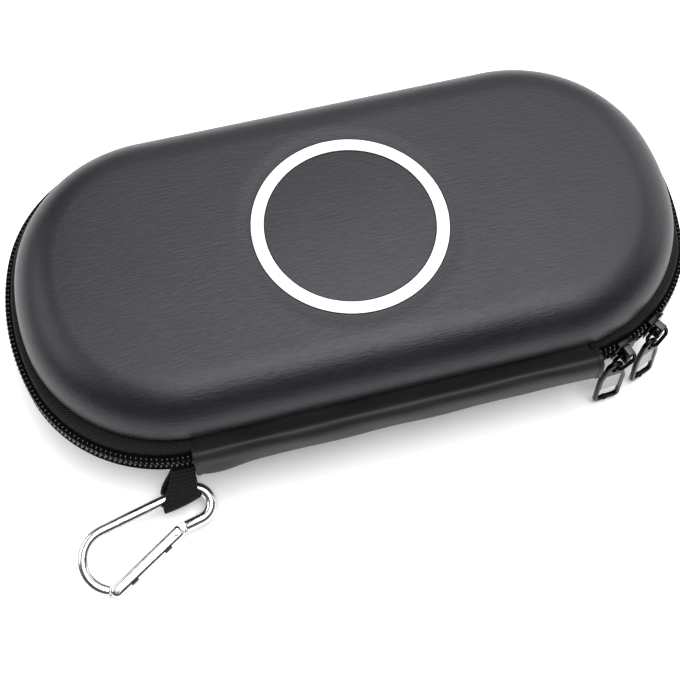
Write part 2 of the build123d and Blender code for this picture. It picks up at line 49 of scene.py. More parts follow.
# Plan of the zip line and shells, as in the solids, in millimetres
HALF_WIDTH = 50.6
MID = 21.0
HEIGHT = 42.0
END_RADIUS = 70.6
END_X = 100.0 - END_RADIUS
CORNER_Y = 8.0
CORNER_RADIUS = HALF_WIDTH - CORNER_Y
CORNER_X = END_X + sqrt((END_RADIUS - CORNER_RADIUS) ** 2 - CORNER_Y**2)
BLEND = degrees(atan2(CORNER_Y, CORNER_X - END_X))
PARK_Y = 4.8
PARK_RADIUS = HALF_WIDTH - 2.4 - PARK_Y
PARK_X = END_X + sqrt((END_RADIUS - PARK_RADIUS) ** 2 - PARK_Y**2)
PARK_BLEND = degrees(atan2(PARK_Y, PARK_X - END_X))
ZIP_START = 3.0
ZIP_END = 0.6
PARKING = (7.0, 43.0)

# Shells
SHELL_INSET = 4.3
SHELL_CORNER_EXTRA = 4.0
SHELL_WALL = 3.0
EDGE_ROUND = 13.3
RIM_REACH = 6.6
RIM_ROUND = 0.9
COLUMNS = 288
# Rows of points on a moulding, from the middle of its top to the middle inside
DISC_ROWS, PUFF_ROWS, PLAIN_ROWS, FLAT_ROWS = 13, 9, 5, 6
EDGE_ROWS, RIM_ROWS, INNER_EDGE_ROWS = 16, 5, 9
CEILING_SHARES = (0.66, 0.33, 0.0)
INNER_ROWS = 1 + INNER_EDGE_ROWS + len(CEILING_SHARES)

# Ring, bedded in a shallow groove between a pillowed disc and a soft swell of the leather
RING_OUTER = 27.8
RING_WIDTH = 3.6
RING_BASE = 41.7
RING_THICK = 0.3
RING_SOFT = 0.1
RING_POINTS = 224
BED = RING_BASE + 0.04
BED_OUT = RING_OUTER + 0.3
BED_IN = RING_OUTER - RING_WIDTH - 0.3
BED_SEAM = [(0.12, 0.3), (0.28, 0.3), (0.36, 0.0)]
PILLOW = BED + 0.52
LID_TOP = BED + 0.26
PUFF_AT = BED_OUT + 4.8


def linear(code):
    """sRGB hex colour as linear RGBA."""
    parts = [int(code[i : i + 2], 16) / 255 for i in (1, 3, 5)]
    return [c / 12.92 if c <= 0.04045 else ((c + 0.055) / 1.055) ** 2.4 for c in parts] + [1.0]


def connect(tree, target, inputs):
    """Links each input that is given a socket, and sets each that is given a value."""
    for key, value in inputs.items():
        if isinstance(value, bpy.types.NodeSocket):
            tree.links.new(value, target.inputs[key])
        else:
            target.inputs[key].default_value = value


def node(tree, kind, inputs=None, stops=(), **settings):
    """Adds a node with its settings, inputs and colour stops, and gives its outputs."""
    made = tree.nodes.new("ShaderNode" + kind)
    for key, value in settings.items():
        setattr(made, key, value)
    connect(tree, made, inputs or {})
    for i, (place, colour) in enumerate(stops):
        made.color_ramp.elements[i].position = place
        made.color_ramp.elements[i].color = linear(colour)
    return made.outputs


def new_material(name):
    made = bpy.data.materials.new(name)
    made.use_nodes = True
    return made, made.node_tree, made.node_tree.nodes["Principled BSDF"]


def per_mm(x, y=None):
    """Scale at which one step of a pattern is this many millimetres long."""
    return [1 / (size * MM) for size in (x, y or x, y or x)]


def pattern(tree, kind, steps, inputs, turn=0, **settings):
    """Adds a texture in object space with steps in millimetres, and gives its outputs."""
    where = node(tree, "TexCoord")["Object"]
    spun = (0, 0, radians(turn))
    in_steps = node(tree, "Mapping", {"Vector": where, "Scale": per_mm(*steps), "Rotation": spun})
    return node(tree, kind, {"Vector": in_steps["Vector"], "Scale": 1.0, **inputs}, **settings)


def relief(tree, body, height, stops, bump, finish):
    """Tints a surface along a height and raises it by that height, over a given finish."""
    tint = node(tree, "ValToRGB", {"Fac": height}, stops)["Color"]
    strength, deep = bump
    raised = node(tree, "Bump", {"Height": height, "Strength": strength, "Distance": deep * MM})
    connect(tree, body, {"Base Color": tint, "Normal": raised["Normal"], **finish})


def moulded_leather():
    """Grained polyurethane leather, hot-pressed over foam: charcoal satin, pebble, creases."""
    made, tree, body = new_material("moulded_pu_leather")
    pebble = pattern(
        tree, "TexVoronoi", (0.9,), {"Smoothness": 0.6}, feature="SMOOTH_F1"
    )["Distance"]
    folded = {"Detail": 4.0, "Roughness": 0.62}
    crease = pattern(tree, "TexNoise", (3.2, 0.55), folded, turn=3)["Fac"]
    mottle = pattern(tree, "TexNoise", (26,), {"Detail": 3.0})["Fac"]
    tint = node(tree, "ValToRGB", {"Fac": mottle}, [(0.3, "#151417"), (0.7, "#1B1A1D")])["Color"]
    gloss = node(
        tree, "MapRange",
        {"Value": crease, "From Min": 0.3, "From Max": 0.7, "To Min": 0.33, "To Max": 0.45},
    )["Result"]
    grain = node(tree, "Bump", {"Height": pebble, "Strength": 0.1, "Distance": 0.1 * MM})["Normal"]
    folds = node(
        tree, "Bump",
        {"Height": crease, "Strength": 0.45, "Distance": 0.2 * MM, "Normal": grain},
    )["Normal"]
    connect(tree, body, {"Base Color": tint, "Roughness": gloss, "Normal": folds})
    connect(tree, body, {"Specular IOR Level": 0.47, "Specular Tint": linear("#F7F3FF")})
    return made


def strip_leather():
    """Smooth polyurethane leather sheet, folded round the spine: softer gloss, long soft waves."""
    made, tree, body = new_material("folded_pu_leather")
    wave = pattern(tree, "TexNoise", (18, 9), {"Detail": 2.0})["Fac"]
    grain = pattern(tree, "TexNoise", (0.8,), {"Detail": 2.0})["Fac"]
    tint = node(tree, "ValToRGB", {"Fac": wave}, [(0.35, "#151517"), (0.65, "#1C1C1F")])["Color"]
    soft = node(tree, "Bump", {"Height": wave, "Strength": 0.25, "Distance": 0.8 * MM})["Normal"]
    skin = node(
        tree, "Bump",
        {"Height": grain, "Strength": 0.08, "Distance": 0.08 * MM, "Normal": soft},
    )["Normal"]
    connect(
        tree, body,
        {"Base Color": tint, "Roughness": 0.52, "Specular IOR Level": 0.3, "Normal": skin},
    )
    return made


CLOUD_SPAN = (0.3, 0.7)
METAL = {"Metallic": 1.0}


def clouded(name, tints, rough, steps, detail, bump=None, finish=None, turn=0):
    """Material whose tint, roughness and skin follow one soft noise with steps in millimetres."""
    made, tree, body = new_material(name)
    cloud = pattern(tree, "TexNoise", steps, {"Detail": detail}, turn)["Fac"]
    tint = node(tree, "ValToRGB", {"Fac": cloud}, zip(CLOUD_SPAN, tints))["Color"]
    span = {"From Min": CLOUD_SPAN[0], "From Max": CLOUD_SPAN[1]}
    span |= {"To Min": rough[0], "To Max": rough[1]}
    gloss = node(tree, "MapRange", {"Value": cloud, **span})["Result"]
    connect(tree, body, {"Base Color": tint, "Roughness": gloss, **(finish or {})})
    if bump:
        strength, deep = bump
        skin = node(tree, "Bump", {"Height": cloud, "Strength": strength, "Distance": deep * MM})
        connect(tree, body, {"Normal": skin["Normal"]})
    return made


def woven_tape(name, length, width, pitch, band, light, dark):
    """Polyester zip tape woven in herringbone: black, dull, chevrons in bands across the tape.

    The threads are drawn about twice as coarse as real ones, which are too fine to show.
    """
    made, tree, body = new_material(name)
    where = node(tree, "UVMap", uv_map="UVMap")["UV"]
    in_mm = node(tree, "Mapping", {"Vector": where, "Scale": (length, width, 1)})["Vector"]
    spot = node(tree, "SeparateXYZ", {"Vector": in_mm})
    fold = node(tree, "Math", {0: spot["Y"], 1: band}, operation="PINGPONG")["Value"]
    slant = node(tree, "Math", {0: spot["X"], 1: fold}, operation="ADD")["Value"]
    turn = node(tree, "Math", {0: slant, 1: 2 * pi / pitch}, operation="MULTIPLY")["Value"]
    wave = node(tree, "Math", {0: turn}, operation="SINE")["Value"]
    thread = node(tree, "Math", {0: wave, 1: 0.5, 2: 0.5}, operation="MULTIPLY_ADD")["Value"]
    dull = {"Roughness": 0.75, "Specular IOR Level": 0.22}
    relief(tree, body, thread, [(0.15, dark), (0.95, light)], (0.6, 0.25), dull)
    return made


def ribbed_webbing(name, length, width, pitch, light, dark):
    """Grosgrain webbing: close ribs across the width, thread grain along them.

    The ribs are drawn a little coarser than real ones, which are too fine to show.
    """
    made, tree, body = new_material(name)
    where = node(tree, "UVMap", uv_map="UVMap")["UV"]
    turns = (2 * pi * length / pitch, 4 * pi * width / pitch, 1)
    in_turns = node(tree, "Mapping", {"Vector": where, "Scale": turns})["Vector"]
    spot = node(tree, "SeparateXYZ", {"Vector": in_turns})
    rib = node(tree, "Math", {0: spot["X"]}, operation="SINE")["Value"]
    thread = node(tree, "Math", {0: spot["Y"]}, operation="SINE")["Value"]
    high = node(tree, "Math", {0: rib, 1: 0.5, 2: 0.5}, operation="MULTIPLY_ADD")["Value"]
    woven = node(tree, "Math", {0: thread, 1: 0.12, 2: high}, operation="MULTIPLY_ADD")["Value"]
    dull = {"Roughness": 0.7, "Specular IOR Level": 0.25}
    relief(tree, body, woven, [(0.1, dark), (0.95, light)], (0.7, 0.35), dull)
    return made


def core_cord():
    """Braided polyester cord inside the coil: black and dull, so only the coil's turns glint."""
    made, tree, body = new_material("braided_cord")
    braid = pattern(tree, "TexVoronoi", (0.5,), {})["Distance"]
    dull = {"Roughness": 0.85, "Specular IOR Level": 0.05}
    relief(tree, body, braid, [(0.1, "#0A0A0B"), (0.6, "#030303")], (0.3, 0.1), dull)
    return made


def knitted_lining():
    """Brushed tricot lining pressed onto the foam: dark grey, dull, fine knit ribs."""
    made, tree, body = new_material("brushed_tricot")
    uneven = {"Distortion": 1.5, "Detail": 2.0}
    rib = pattern(tree, "TexWave", (1.1,), uneven, bands_direction="X")["Fac"]
    dull = {"Roughness": 0.9, "Sheen Weight": 0.35}
    relief(tree, body, rib, [(0.2, "#19191B"), (0.8, "#2B2B2E")], (0.4, 0.2), dull)
    return made


def knitted_net():
    """Knitted polyester net: black yarn round open diamond holes about 3 mm apart."""
    made, tree, body = new_material("knitted_net")
    where = node(tree, "TexCoord")["Object"]
    turned_in_mm = node(
        tree, "Mapping",
        {
            "Vector": where, "Scale": per_mm(3), "Rotation": (0, 0, radians(45)),
            "Location": (100, 100, 0),
        },
    )["Vector"]
    spot = node(tree, "SeparateXYZ", {"Vector": turned_in_mm})
    folds = [node(tree, "Math", {0: spot[axis], 1: 0.5}, operation="PINGPONG") for axis in "XY"]
    sides = {i: fold["Value"] for i, fold in enumerate(folds)}
    near = node(tree, "Math", sides, operation="MINIMUM")["Value"]
    yarn = node(tree, "Math", {0: near, 1: 0.14}, operation="LESS_THAN")["Value"]
    tint = node(tree, "ValToRGB", {"Fac": near}, [(0.0, "#202024"), (0.14, "#0E0E10")])["Color"]
    connect(tree, body, {"Base Color": tint, "Roughness": 0.7, "Alpha": yarn})
    return made


MOULDED_LEATHER = moulded_leather()
STRIP_LEATHER = strip_leather()
# White vinyl film, die-cut and bonded: bright, faintly uneven satin
RING_VINYL = clouded(
    "bonded_white_vinyl", ("#DCDCDA", "#EEEEEC"), (0.38, 0.38), (3,), 3.0, (0.05, 0.1)
)
# Extruded nylon monofilament, heat-set into a coil: black, smooth, small bright glints
NYLON_COIL = clouded(
    "heat_set_nylon", ("#060607", "#0C0C0D"), (0.12, 0.22), (1.2,), 2.0,
    finish={"Specular IOR Level": 0.85},
)
CORE_CORD = core_cord()
# Die-cast zinc, tumbled and plated: gunmetal gloss over a soft cast skin. The paler, duller copy is
# a painted highlight on the lug tops, and the pale copy on the tabs' flat webs a painted reflection
CAST_SKIN = ((0.7,), 3.0, (0.08, 0.08), METAL)
DARK_ZINC = clouded("dark_plated_zinc", ("#1A1A1C", "#27272A"), (0.18, 0.32), *CAST_SKIN)
HIGHLIGHT_PAINTED_ZINC = clouded("plated_zinc_painted_highlight", ("#45464A", "#54555A"), (0.4, 0.5), *CAST_SKIN)
REFLECTION_PAINTED_ZINC = clouded("plated_zinc_painted_reflection", ("#8E8F92", "#9E9FA2"), (0.3, 0.4), *CAST_SKIN)
# Drawn aluminium rod, bent and polished: mirror bright, faint draw lines
ALUMINIUM = clouded(
    "polished_aluminium", ("#DADCDF", "#F1F2F3"), (0.16, 0.26), (6, 0.5), 3.0, (0.05, 0.05), METAL,
    turn=-13,
)
# Cold-headed steel rivet: grey, slightly dull
RIVET_STEEL = clouded(
    "cold_headed_steel", ("#8F9194", "#B4B6B8"), (0.3, 0.3), (0.4,), 2.0, (0.1, 0.05), METAL
)
LINING = knitted_lining()
NET = knitted_net()


def deselect():
    if bpy.context.object and bpy.context.object.mode != "OBJECT":
        bpy.ops.object.mode_set(mode="OBJECT")
    bpy.ops.object.select_all(action="DESELECT")


def fresh(add, **settings):
    """Adds a primitive by its operator, with its place, turn and scale put into its mesh."""
    deselect()
    add(**settings)
    bpy.ops.object.transform_apply()
    return bpy.context.object


def only(piece):
    deselect()
    piece.select_set(True)
    bpy.context.view_layer.objects.active = piece


def apply_modifier(piece, kind, **settings):
    only(piece)
    made = piece.modifiers.new(kind.lower(), kind)
    for key, value in settings.items():
        setattr(made, key, value)
    bpy.ops.object.modifier_apply(modifier=made.name)


def edit():
    """Opens the active piece's mesh for editing, with all of it selected."""
    bpy.ops.object.mode_set(mode="EDIT")
    bpy.ops.mesh.select_all(action="SELECT")


def leave_edit(outwards=False):
    """Closes the mesh again, if asked with all its faces turned outwards."""
    if outwards:
        bpy.ops.mesh.select_all(action="SELECT")
        bpy.ops.mesh.normals_make_consistent(inside=False)
    bpy.ops.object.mode_set(mode="OBJECT")


def unselect(piece, kind):
    """Leaves nothing of a mesh selected; its points or its edges are to be picked next."""
    only(piece)
    bpy.ops.object.mode_set(mode="EDIT")
    bpy.ops.mesh.select_mode(type=kind)
    bpy.ops.mesh.select_all(action="DESELECT")
    leave_edit()


def select_points(piece, test):
    """Selects, in edit mode, the points for which the test on (x, y, z) in millimetres holds."""
    unselect(piece, "VERT")
    for point in piece.data.vertices:
        point.select = test(*(point.co / MM))
    bpy.ops.object.mode_set(mode="EDIT")


def weld(piece, outwards=True):
    """Merges doubles and, unless told not to, turns the faces outwards."""
    only(piece)
    edit()
    bpy.ops.mesh.remove_doubles(threshold=1e-6)
    leave_edit(outwards)


def soften(piece, width, segments=3, angle=30):
    """Bevels the edges that bend by more than an angle in degrees."""
    apply_modifier(
        piece, "BEVEL", width=width * MM, segments=segments, limit_method="ANGLE",
        angle_limit=radians(angle),
    )


def finished(piece, name, materials, body, nodes=(), smooth=40):
    """Names the piece, gives it its materials and smooth faces, and sets it on its body."""
    only(piece)
    bpy.ops.object.transform_apply()
    bpy.ops.object.shade_smooth_by_angle(angle=radians(smooth))
    piece.name = name
    for finish in materials:
        piece.data.materials.append(finish)
    if body:
        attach(piece, body)
    if nodes:
        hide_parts(*nodes)
    return piece


def sheet(rows):
    """Grid laid on rows of points in millimetres; its UV map runs along and across."""
    along, across = len(rows[0]) - 1, len(rows) - 1
    piece = fresh(bpy.ops.mesh.primitive_grid_add, x_subdivisions=along, y_subdivisions=across)
    piece.data.vertices.foreach_set("co", [c * MM for row in rows for p in row for c in p])
    piece.data.update()
    return piece


def on_arc(centre, radius, start, sweep):
    """Piece of a plan line: a function from share to (x, y, nx, ny), and its length."""

    def at(share):
        turn = radians(start + share * sweep)
        across, up = cos(turn), sin(turn)
        return centre[0] + radius * across, centre[1] + radius * up, across, up

    return at, radius * radians(abs(sweep))


def on_line(first, last, normal):
    def at(share):
        return (*(a + share * (b - a) for a, b in zip(first, last)), *normal)

    return at, hypot(last[0] - first[0], last[1] - first[1])


def walk(pieces, count):
    """Evenly spaced stations (x, y, nx, ny) along joined pieces of a plan line."""
    total = sum(length for _, length in pieces)
    stations = []
    for i in range(count):
        run = total * i / (count - 1)
        for at, length in pieces:
            if run <= length + 1e-9 or (at, length) == pieces[-1]:
                stations.append(at(min(1.0, run / length)))
                break
            run -= length
    return stations


def zip_pieces():
    """The zip's outer line from the strip's right end round the back to the front left corner."""
    turn = 90 - BLEND
    return [
        on_arc((PARK_X, -PARK_Y), PARK_RADIUS, ZIP_START - 90, 90 - PARK_BLEND - ZIP_START),
        on_arc((END_X, 0), END_RADIUS, -PARK_BLEND, PARK_BLEND + BLEND),
        on_arc((CORNER_X, CORNER_Y), CORNER_RADIUS, BLEND, turn),
        on_line((CORNER_X, HALF_WIDTH), (-CORNER_X, HALF_WIDTH), (0, 1)),
        on_arc((-CORNER_X, CORNER_Y), CORNER_RADIUS, 90, turn),
        on_arc((-END_X, 0), END_RADIUS, 180 - BLEND, 2 * BLEND),
        on_arc((-CORNER_X, -CORNER_Y), CORNER_RADIUS, 180 + BLEND, turn - ZIP_END),
    ]


def outline(inset):
    """Closed plan line of the shells at an inset from the zip's line, as COLUMNS + 1 points."""
    corner = CORNER_RADIUS + SHELL_CORNER_EXTRA - inset
    end = END_RADIUS - inset
    side = HALF_WIDTH - inset
    corner_y = side - corner
    corner_x = END_X + sqrt((end - corner) ** 2 - corner_y**2)
    blend = degrees(atan2(corner_y, corner_x - END_X))
    turn = 90 - blend
    return [
        (x, y)
        for x, y, _, _ in walk(
            [
                on_line((0, -side), (corner_x, -side), (0, -1)),
                on_arc((corner_x, -corner_y), corner, -90, turn),
                on_arc((END_X, 0), end, -blend, 2 * blend),
                on_arc((corner_x, corner_y), corner, blend, turn),
                on_line((corner_x, side), (-corner_x, side), (0, 1)),
                on_arc((-corner_x, corner_y), corner, 90, turn),
                on_arc((-END_X, 0), end, 180 - blend, 2 * blend),
                on_arc((-corner_x, -corner_y), corner, 180 + blend, turn),
                on_line((-corner_x, -side), (0, -side), (0, -1)),
            ],
            COLUMNS + 1,
        )
    ]


def level(points, z):
    return [(x, y, z) for x, y in points]


def ease(share):
    return share * share * (3 - 2 * share)


def shares(count):
    return [i / count for i in range(1, count + 1)]


def clamped(share):
    return min(1.0, max(0.0, share))


def shell_rows(top, bedded):
    """Rows of a moulding from the middle of its top, over edge and rim, to the middle inside.

    A bedded top has the ring's groove round a pillowed disc, and the other one is flat.
    """
    flat_inset = SHELL_INSET + EDGE_ROUND
    flat = outline(flat_inset)
    reach = [hypot(x, y) for x, y in flat]

    def circle(radius, z):
        return [(radius * x / r, radius * y / r, z) for (x, y), r in zip(flat, reach)]

    rows = [circle(0.0, PILLOW if bedded else top)]
    if bedded:
        rows += [circle(BED_IN * s, PILLOW + (BED - PILLOW) * s * s) for s in shares(DISC_ROWS)]
        rows += [circle(BED_IN + away, BED - deep) for away, deep in BED_SEAM]
        rows += [circle(BED_OUT - away, BED - deep) for away, deep in reversed(BED_SEAM)]
        rows.append(circle(BED_OUT, BED))
        wide, high = PUFF_AT - BED_OUT, top - BED
        rows += [circle(BED_OUT + s * wide, BED + high * ease(s)) for s in shares(PUFF_ROWS)]
    else:
        rows += [circle(PUFF_AT * s, top) for s in shares(PLAIN_ROWS)]
    foot = rows[-1]
    for s in shares(FLAT_ROWS):
        rows.append(
            [
                (p[0] + s * (q[0] - p[0]), p[1] + s * (q[1] - p[1]), top)
                for p, q in zip(foot, flat)
            ]
        )
    for s in shares(EDGE_ROWS):
        turn = s * pi / 2
        inset = flat_inset - EDGE_ROUND * sin(turn)
        rows.append(level(outline(inset), top - EDGE_ROUND * (1 - cos(turn))))
    rim = MID + RIM_REACH
    for s in shares(RIM_ROWS):
        turn = s * pi / 2
        inset = SHELL_INSET + RIM_ROUND * (1 - cos(turn))
        rows.append(level(outline(inset), rim + RIM_ROUND * (1 - sin(turn))))
    rows.append(level(outline(SHELL_INSET + SHELL_WALL), rim))
    inner_round = EDGE_ROUND - SHELL_WALL
    ceiling = top - SHELL_WALL
    for s in [0.0] + shares(INNER_EDGE_ROWS):
        turn = s * pi / 2
        inset = SHELL_INSET + SHELL_WALL + inner_round * (1 - cos(turn))
        rows.append(level(outline(inset), ceiling - inner_round * (1 - sin(turn))))
    rows += [[(x * s, y * s, ceiling) for x, y in flat] for s in CEILING_SHARES]
    return rows


def shell(name, rows, body, nodes):
    """Closed moulding: leather outside and over the rim, lining inside."""
    piece = sheet(rows)
    inside = len(rows) - 1 - INNER_ROWS
    for face in piece.data.polygons:
        face.material_index = 1 if face.index // COLUMNS >= inside else 0
    weld(piece)
    return finished(piece, name, [MOULDED_LEATHER, LINING], body, nodes, 50)


def mirrored(rows):
    return [[(x, y, HEIGHT - z) for x, y, z in row] for row in rows]


def white_ring():
    """Die-cut ring: a circle drawn in to its inner edge, given its thickness and softened edges."""
    top = (RING_BASE + RING_THICK) * MM
    piece = fresh(
        bpy.ops.mesh.primitive_circle_add,
        vertices=RING_POINTS, radius=RING_OUTER * MM, location=(0, 0, top),
    )
    inner = (RING_OUTER - RING_WIDTH) / RING_OUTER
    edit()
    bpy.ops.mesh.extrude_edges_move()
    bpy.ops.transform.resize(value=(inner, inner, 1), center_override=(0, 0, top))
    leave_edit(outwards=True)
    if piece.data.polygons[0].normal.z < 0:
        piece.data.flip_normals()
    apply_modifier(piece, "SOLIDIFY", thickness=RING_THICK * MM, offset=-1.0)
    soften(piece, RING_SOFT)
    return finished(piece, "white_ring", [RING_VINYL], "lid", ["top_ring"], 35)


TAPE_STATIONS = 420
TAPE_SECTION = [
    (-2.45, 0.5), (-2.4, 1.6), (-2.4, 2.8), (-2.4, 3.8), (-2.55, 4.6), (-2.95, 5.05),
    (-3.6, 5.2), (-4.6, 5.3), (-5.8, 5.45), (-7.2, 5.6), (-8.3, 5.8), (-8.75, 6.4), (-8.85, 9.0),
]
TAPE_THICK = 0.45
WEAVE_PITCH = 1.1
WEAVE_BAND = 2.2
SWELL = 0.9
SWELL_FADE = (62.0, 79.0)
SWELL_ROOT = -8.0
SWELL_RUN = 5.0


def swell(x, y):
    """How far the zip bulges outwards round the parked sliders, in millimetres."""
    if x < PARK_X or y > -PARK_Y:
        return 0.0
    turn = degrees(atan2(x - PARK_X, -PARK_Y - y))
    share = (SWELL_FADE[1] - turn) / (SWELL_FADE[1] - SWELL_FADE[0])
    return SWELL * ease(clamped(share))


def section_rows(section, stations, lift=1):
    """Rows of a section of (out, up from the mid plane) carried along the stations."""
    rows = []
    for out, up in section:
        loose = clamped((out - SWELL_ROOT) / SWELL_RUN)
        row = []
        for x, y, nx, ny in stations:
            far = out + loose * swell(x, y)
            row.append((x + nx * far, y + ny * far, MID + lift * up))
        rows.append(row)
    return rows


def section_width(section):
    return sum(hypot(b[0] - a[0], b[1] - a[1]) for a, b in zip(section, section[1:]))


def zip_tape(name, lift, body, nodes):
    """Woven tape from the coil, round the shell's rim and in under it to the binding."""
    pieces = zip_pieces()
    piece = sheet(section_rows(TAPE_SECTION, walk(pieces, TAPE_STATIONS), lift))
    apply_modifier(piece, "SOLIDIFY", thickness=TAPE_THICK * MM, offset=0.0)
    weld(piece)
    length = sum(run for _, run in pieces)
    width = section_width(TAPE_SECTION)
    cloth = woven_tape(
        name + "_herringbone", length, width, WEAVE_PITCH, WEAVE_BAND, "#202023", "#020203"
    )
    return finished(piece, name, [cloth], body, nodes, 60)


TOOTH_PITCH = 1.45
TOOTH_LENGTH = 0.86
TOOTH_DEPTH = 2.3
TOOTH_TOPS = {1: 3.05, -1: 2.15}
TOOTH_FOOT = -0.4
TOOTH_SLANT = 7.0
TOOTH_HEAD = 0.8
HEAD_WIDER = 1.2
PARTED = 0.7
COIL_CORES = {
    1: [
        (-2.35, 0.1), (-0.45, 0.1), (-0.34, 0.5), (-0.34, 2.4), (-0.45, 2.72), (-0.8, 2.86),
        (-2.35, 2.86),
    ],
    -1: [
        (-2.35, 0.1), (-0.45, 0.1), (-0.34, 0.5), (-0.34, 1.7), (-0.12, 2.0), (-0.06, 2.5),
        (-0.3, 2.85), (-0.9, 2.95), (-2.35, 2.95),
    ],
}


def tooth(top):
    """One coil turn seen from outside: an egg-shaped bead, slanted, wider where it meshes."""
    high = top - TOOTH_FOOT
    piece = fresh(
        bpy.ops.mesh.primitive_uv_sphere_add,
        segments=8, ring_count=6, radius=0.5, location=(0, 0, (top + TOOTH_FOOT) / 2 * MM),
        scale=(TOOTH_LENGTH * MM, TOOTH_DEPTH * MM, high * MM),
    )
    select_points(piece, lambda x, y, z: z < TOOTH_FOOT + TOOTH_HEAD)
    bpy.ops.transform.resize(
        value=(HEAD_WIDER, 1.0, 1.0), center_override=(0, 0, TOOTH_FOOT * MM)
    )
    bpy.ops.mesh.select_all(action="SELECT")
    bpy.ops.transform.rotate(
        value=radians(TOOTH_SLANT), orient_axis="Y", center_override=(0, 0, high / 2 * MM)
    )
    leave_edit()
    return piece


def zip_coil(name, lift, shift, body, nodes):
    """Row of coil turns, each its own copy, on a core cord; parted where the sliders are parked."""
    model = tooth(TOOTH_TOPS[lift])
    pieces = zip_pieces()
    length = sum(run for _, run in pieces)
    count = int(length / TOOTH_PITCH)
    stations = walk(pieces, 2 * count + 1)
    parked = PARK_RADIUS * radians(PARKING[1] - ZIP_START)
    ring = COIL_CORES[lift] + COIL_CORES[lift][:1]
    core = sheet(section_rows(ring, walk(pieces, TAPE_STATIONS), lift))
    cord_faces = len(core.data.polygons)
    copies = [core]
    for i in range(count):
        x, y, nx, ny = stations[2 * i + (1 if shift else 0)]
        apart = PARTED if i * TOOTH_PITCH < parked else 0.0
        far = swell(x, y) - TOOTH_DEPTH / 2
        frame_here = Matrix(
            (
                (-ny, nx, 0, (x + nx * far) * MM),
                (nx, ny, 0, (y + ny * far) * MM),
                (0, 0, lift, (MID + lift * apart) * MM),
                (0, 0, 0, 1),
            )
        )
        copy = model.copy()
        copy.data = model.data.copy()
        copy.data.transform(frame_here)
        bpy.context.collection.objects.link(copy)
        copies.append(copy)
    bpy.data.objects.remove(model)
    piece = joined(copies)
    for face in piece.data.polygons[:cord_faces]:
        face.material_index = 1
    weld(piece)
    return finished(piece, name, [NYLON_COIL, CORE_CORD], body, nodes, 70)


STRIP_LEFT = -57.03
STRIP_RIGHT = 60.57
STRIP_FRONT = HALF_WIDTH + 2.2
STRIP_BULGE = 0.35
STRIP_REACH = 6.3
STRIP_FULLNESS = 0.62
STRIP_STEPS = 18
STRIP_STATIONS = 160
STRIP_VALLEY = 1.9
STRIP_RIDGE = HALF_WIDTH + 0.2
STRIP_TUCK = 1.6
STRIP_SEWN = 7.3
LEFT_SAG = 1.3
LEFT_SAG_AT = -50.5
LEFT_SAG_WIDTH = 7.0
LEFT_SAG_BELOW = 2.0
LEFT_SAG_RUN = 4.0
STRIP_THICK = 1.2
STRIP_EDGE = HALF_WIDTH - 4.0
HEM_WIDTH = 1.5
HEM_STEP = 0.3
HEM_PLACES = (0.05, 0.15, 0.3, 0.5, 0.75, 1.0, 1.2, 1.35, 1.45, 1.5, 1.6)


def strip_profile():
    """Points (y, up) of the outer face from the lid's rim, over valley and ridge, to the base."""
    deep = STRIP_FRONT + STRIP_BULGE - STRIP_EDGE
    turns = [pi / 2 * (1 - i / STRIP_STEPS) for i in range(STRIP_STEPS + 1)]
    half = [
        (STRIP_EDGE + deep * cos(t) ** STRIP_FULLNESS, STRIP_REACH * sin(t) ** STRIP_FULLNESS)
        for t in turns
    ]
    half = [(STRIP_EDGE - STRIP_TUCK * (1 - s), STRIP_REACH) for s in (0.0, 0.5)] + half
    run = STRIP_RIDGE - STRIP_EDGE
    upper = [
        (y, up - STRIP_VALLEY * (1 - ease(clamped((y - STRIP_EDGE) / run)))) for y, up in half
    ]
    sewn = [(upper[0][0], STRIP_SEWN * (1 - s) + upper[0][1] * s) for s in (0.0, 0.5)]
    return sewn + upper + [(y, -up) for y, up in reversed(half[:-1])]


def strip_wave(x, up):
    """Slow unevenness of the strip's leather, in millimetres."""
    return 0.16 * sin(x / 9.0 + 0.6) * sin(x / 23.0) + 0.1 * sin(x / 4.1 + up / 3.0)


def left_sag(x, up):
    """How far the strip bags outwards low down near its left end, in millimetres."""
    if up >= LEFT_SAG_BELOW:
        return 0.0
    most = LEFT_SAG * exp(-(((x - LEFT_SAG_AT) / LEFT_SAG_WIDTH) ** 2))
    return most * min(1.0, (LEFT_SAG_BELOW - up) / LEFT_SAG_RUN)


def hinge_strip():
    """Folded leather spine with a rolled hem at each end, curved out between base and lid."""
    profile = strip_profile()
    length = STRIP_RIGHT - STRIP_LEFT
    places = [STRIP_LEFT + length * i / STRIP_STATIONS for i in range(STRIP_STATIONS + 1)]
    for end, inwards in ((STRIP_LEFT, 1), (STRIP_RIGHT, -1)):
        places += [end + inwards * d for d in HEM_PLACES]
    places = sorted(set(places))
    rows = []
    for i, (y, up) in enumerate(profile):
        before, after = profile[max(0, i - 1)], profile[min(len(profile) - 1, i + 1)]
        run, rise = after[0] - before[0], after[1] - before[1]
        size = hypot(run, rise)
        out_y, out_up = -rise / size, run / size
        front = max(0.0, out_y)
        row = []
        for x in places:
            hem = min(x - STRIP_LEFT, STRIP_RIGHT - x)
            lift = HEM_STEP * sqrt(max(0.0, 1 - (2 * hem / HEM_WIDTH - 1) ** 2))
            push = lift + front * (strip_wave(x, up) + left_sag(x, up)) - HEM_STEP
            row.append((x, -(y + out_y * push), MID + up + out_up * push))
        rows.append(row)
    piece = sheet(rows)
    weld(piece, outwards=False)
    middle = min(piece.data.polygons, key=lambda f: f.center.y)
    if middle.normal.y > 0:
        piece.data.flip_normals()
    apply_modifier(piece, "SOLIDIFY", thickness=(STRIP_THICK - HEM_STEP) * MM, offset=-1.0)
    finished(piece, "hinge_spine", [STRIP_LEATHER], None, ["hinge_strip"], 50)
    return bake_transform(piece)


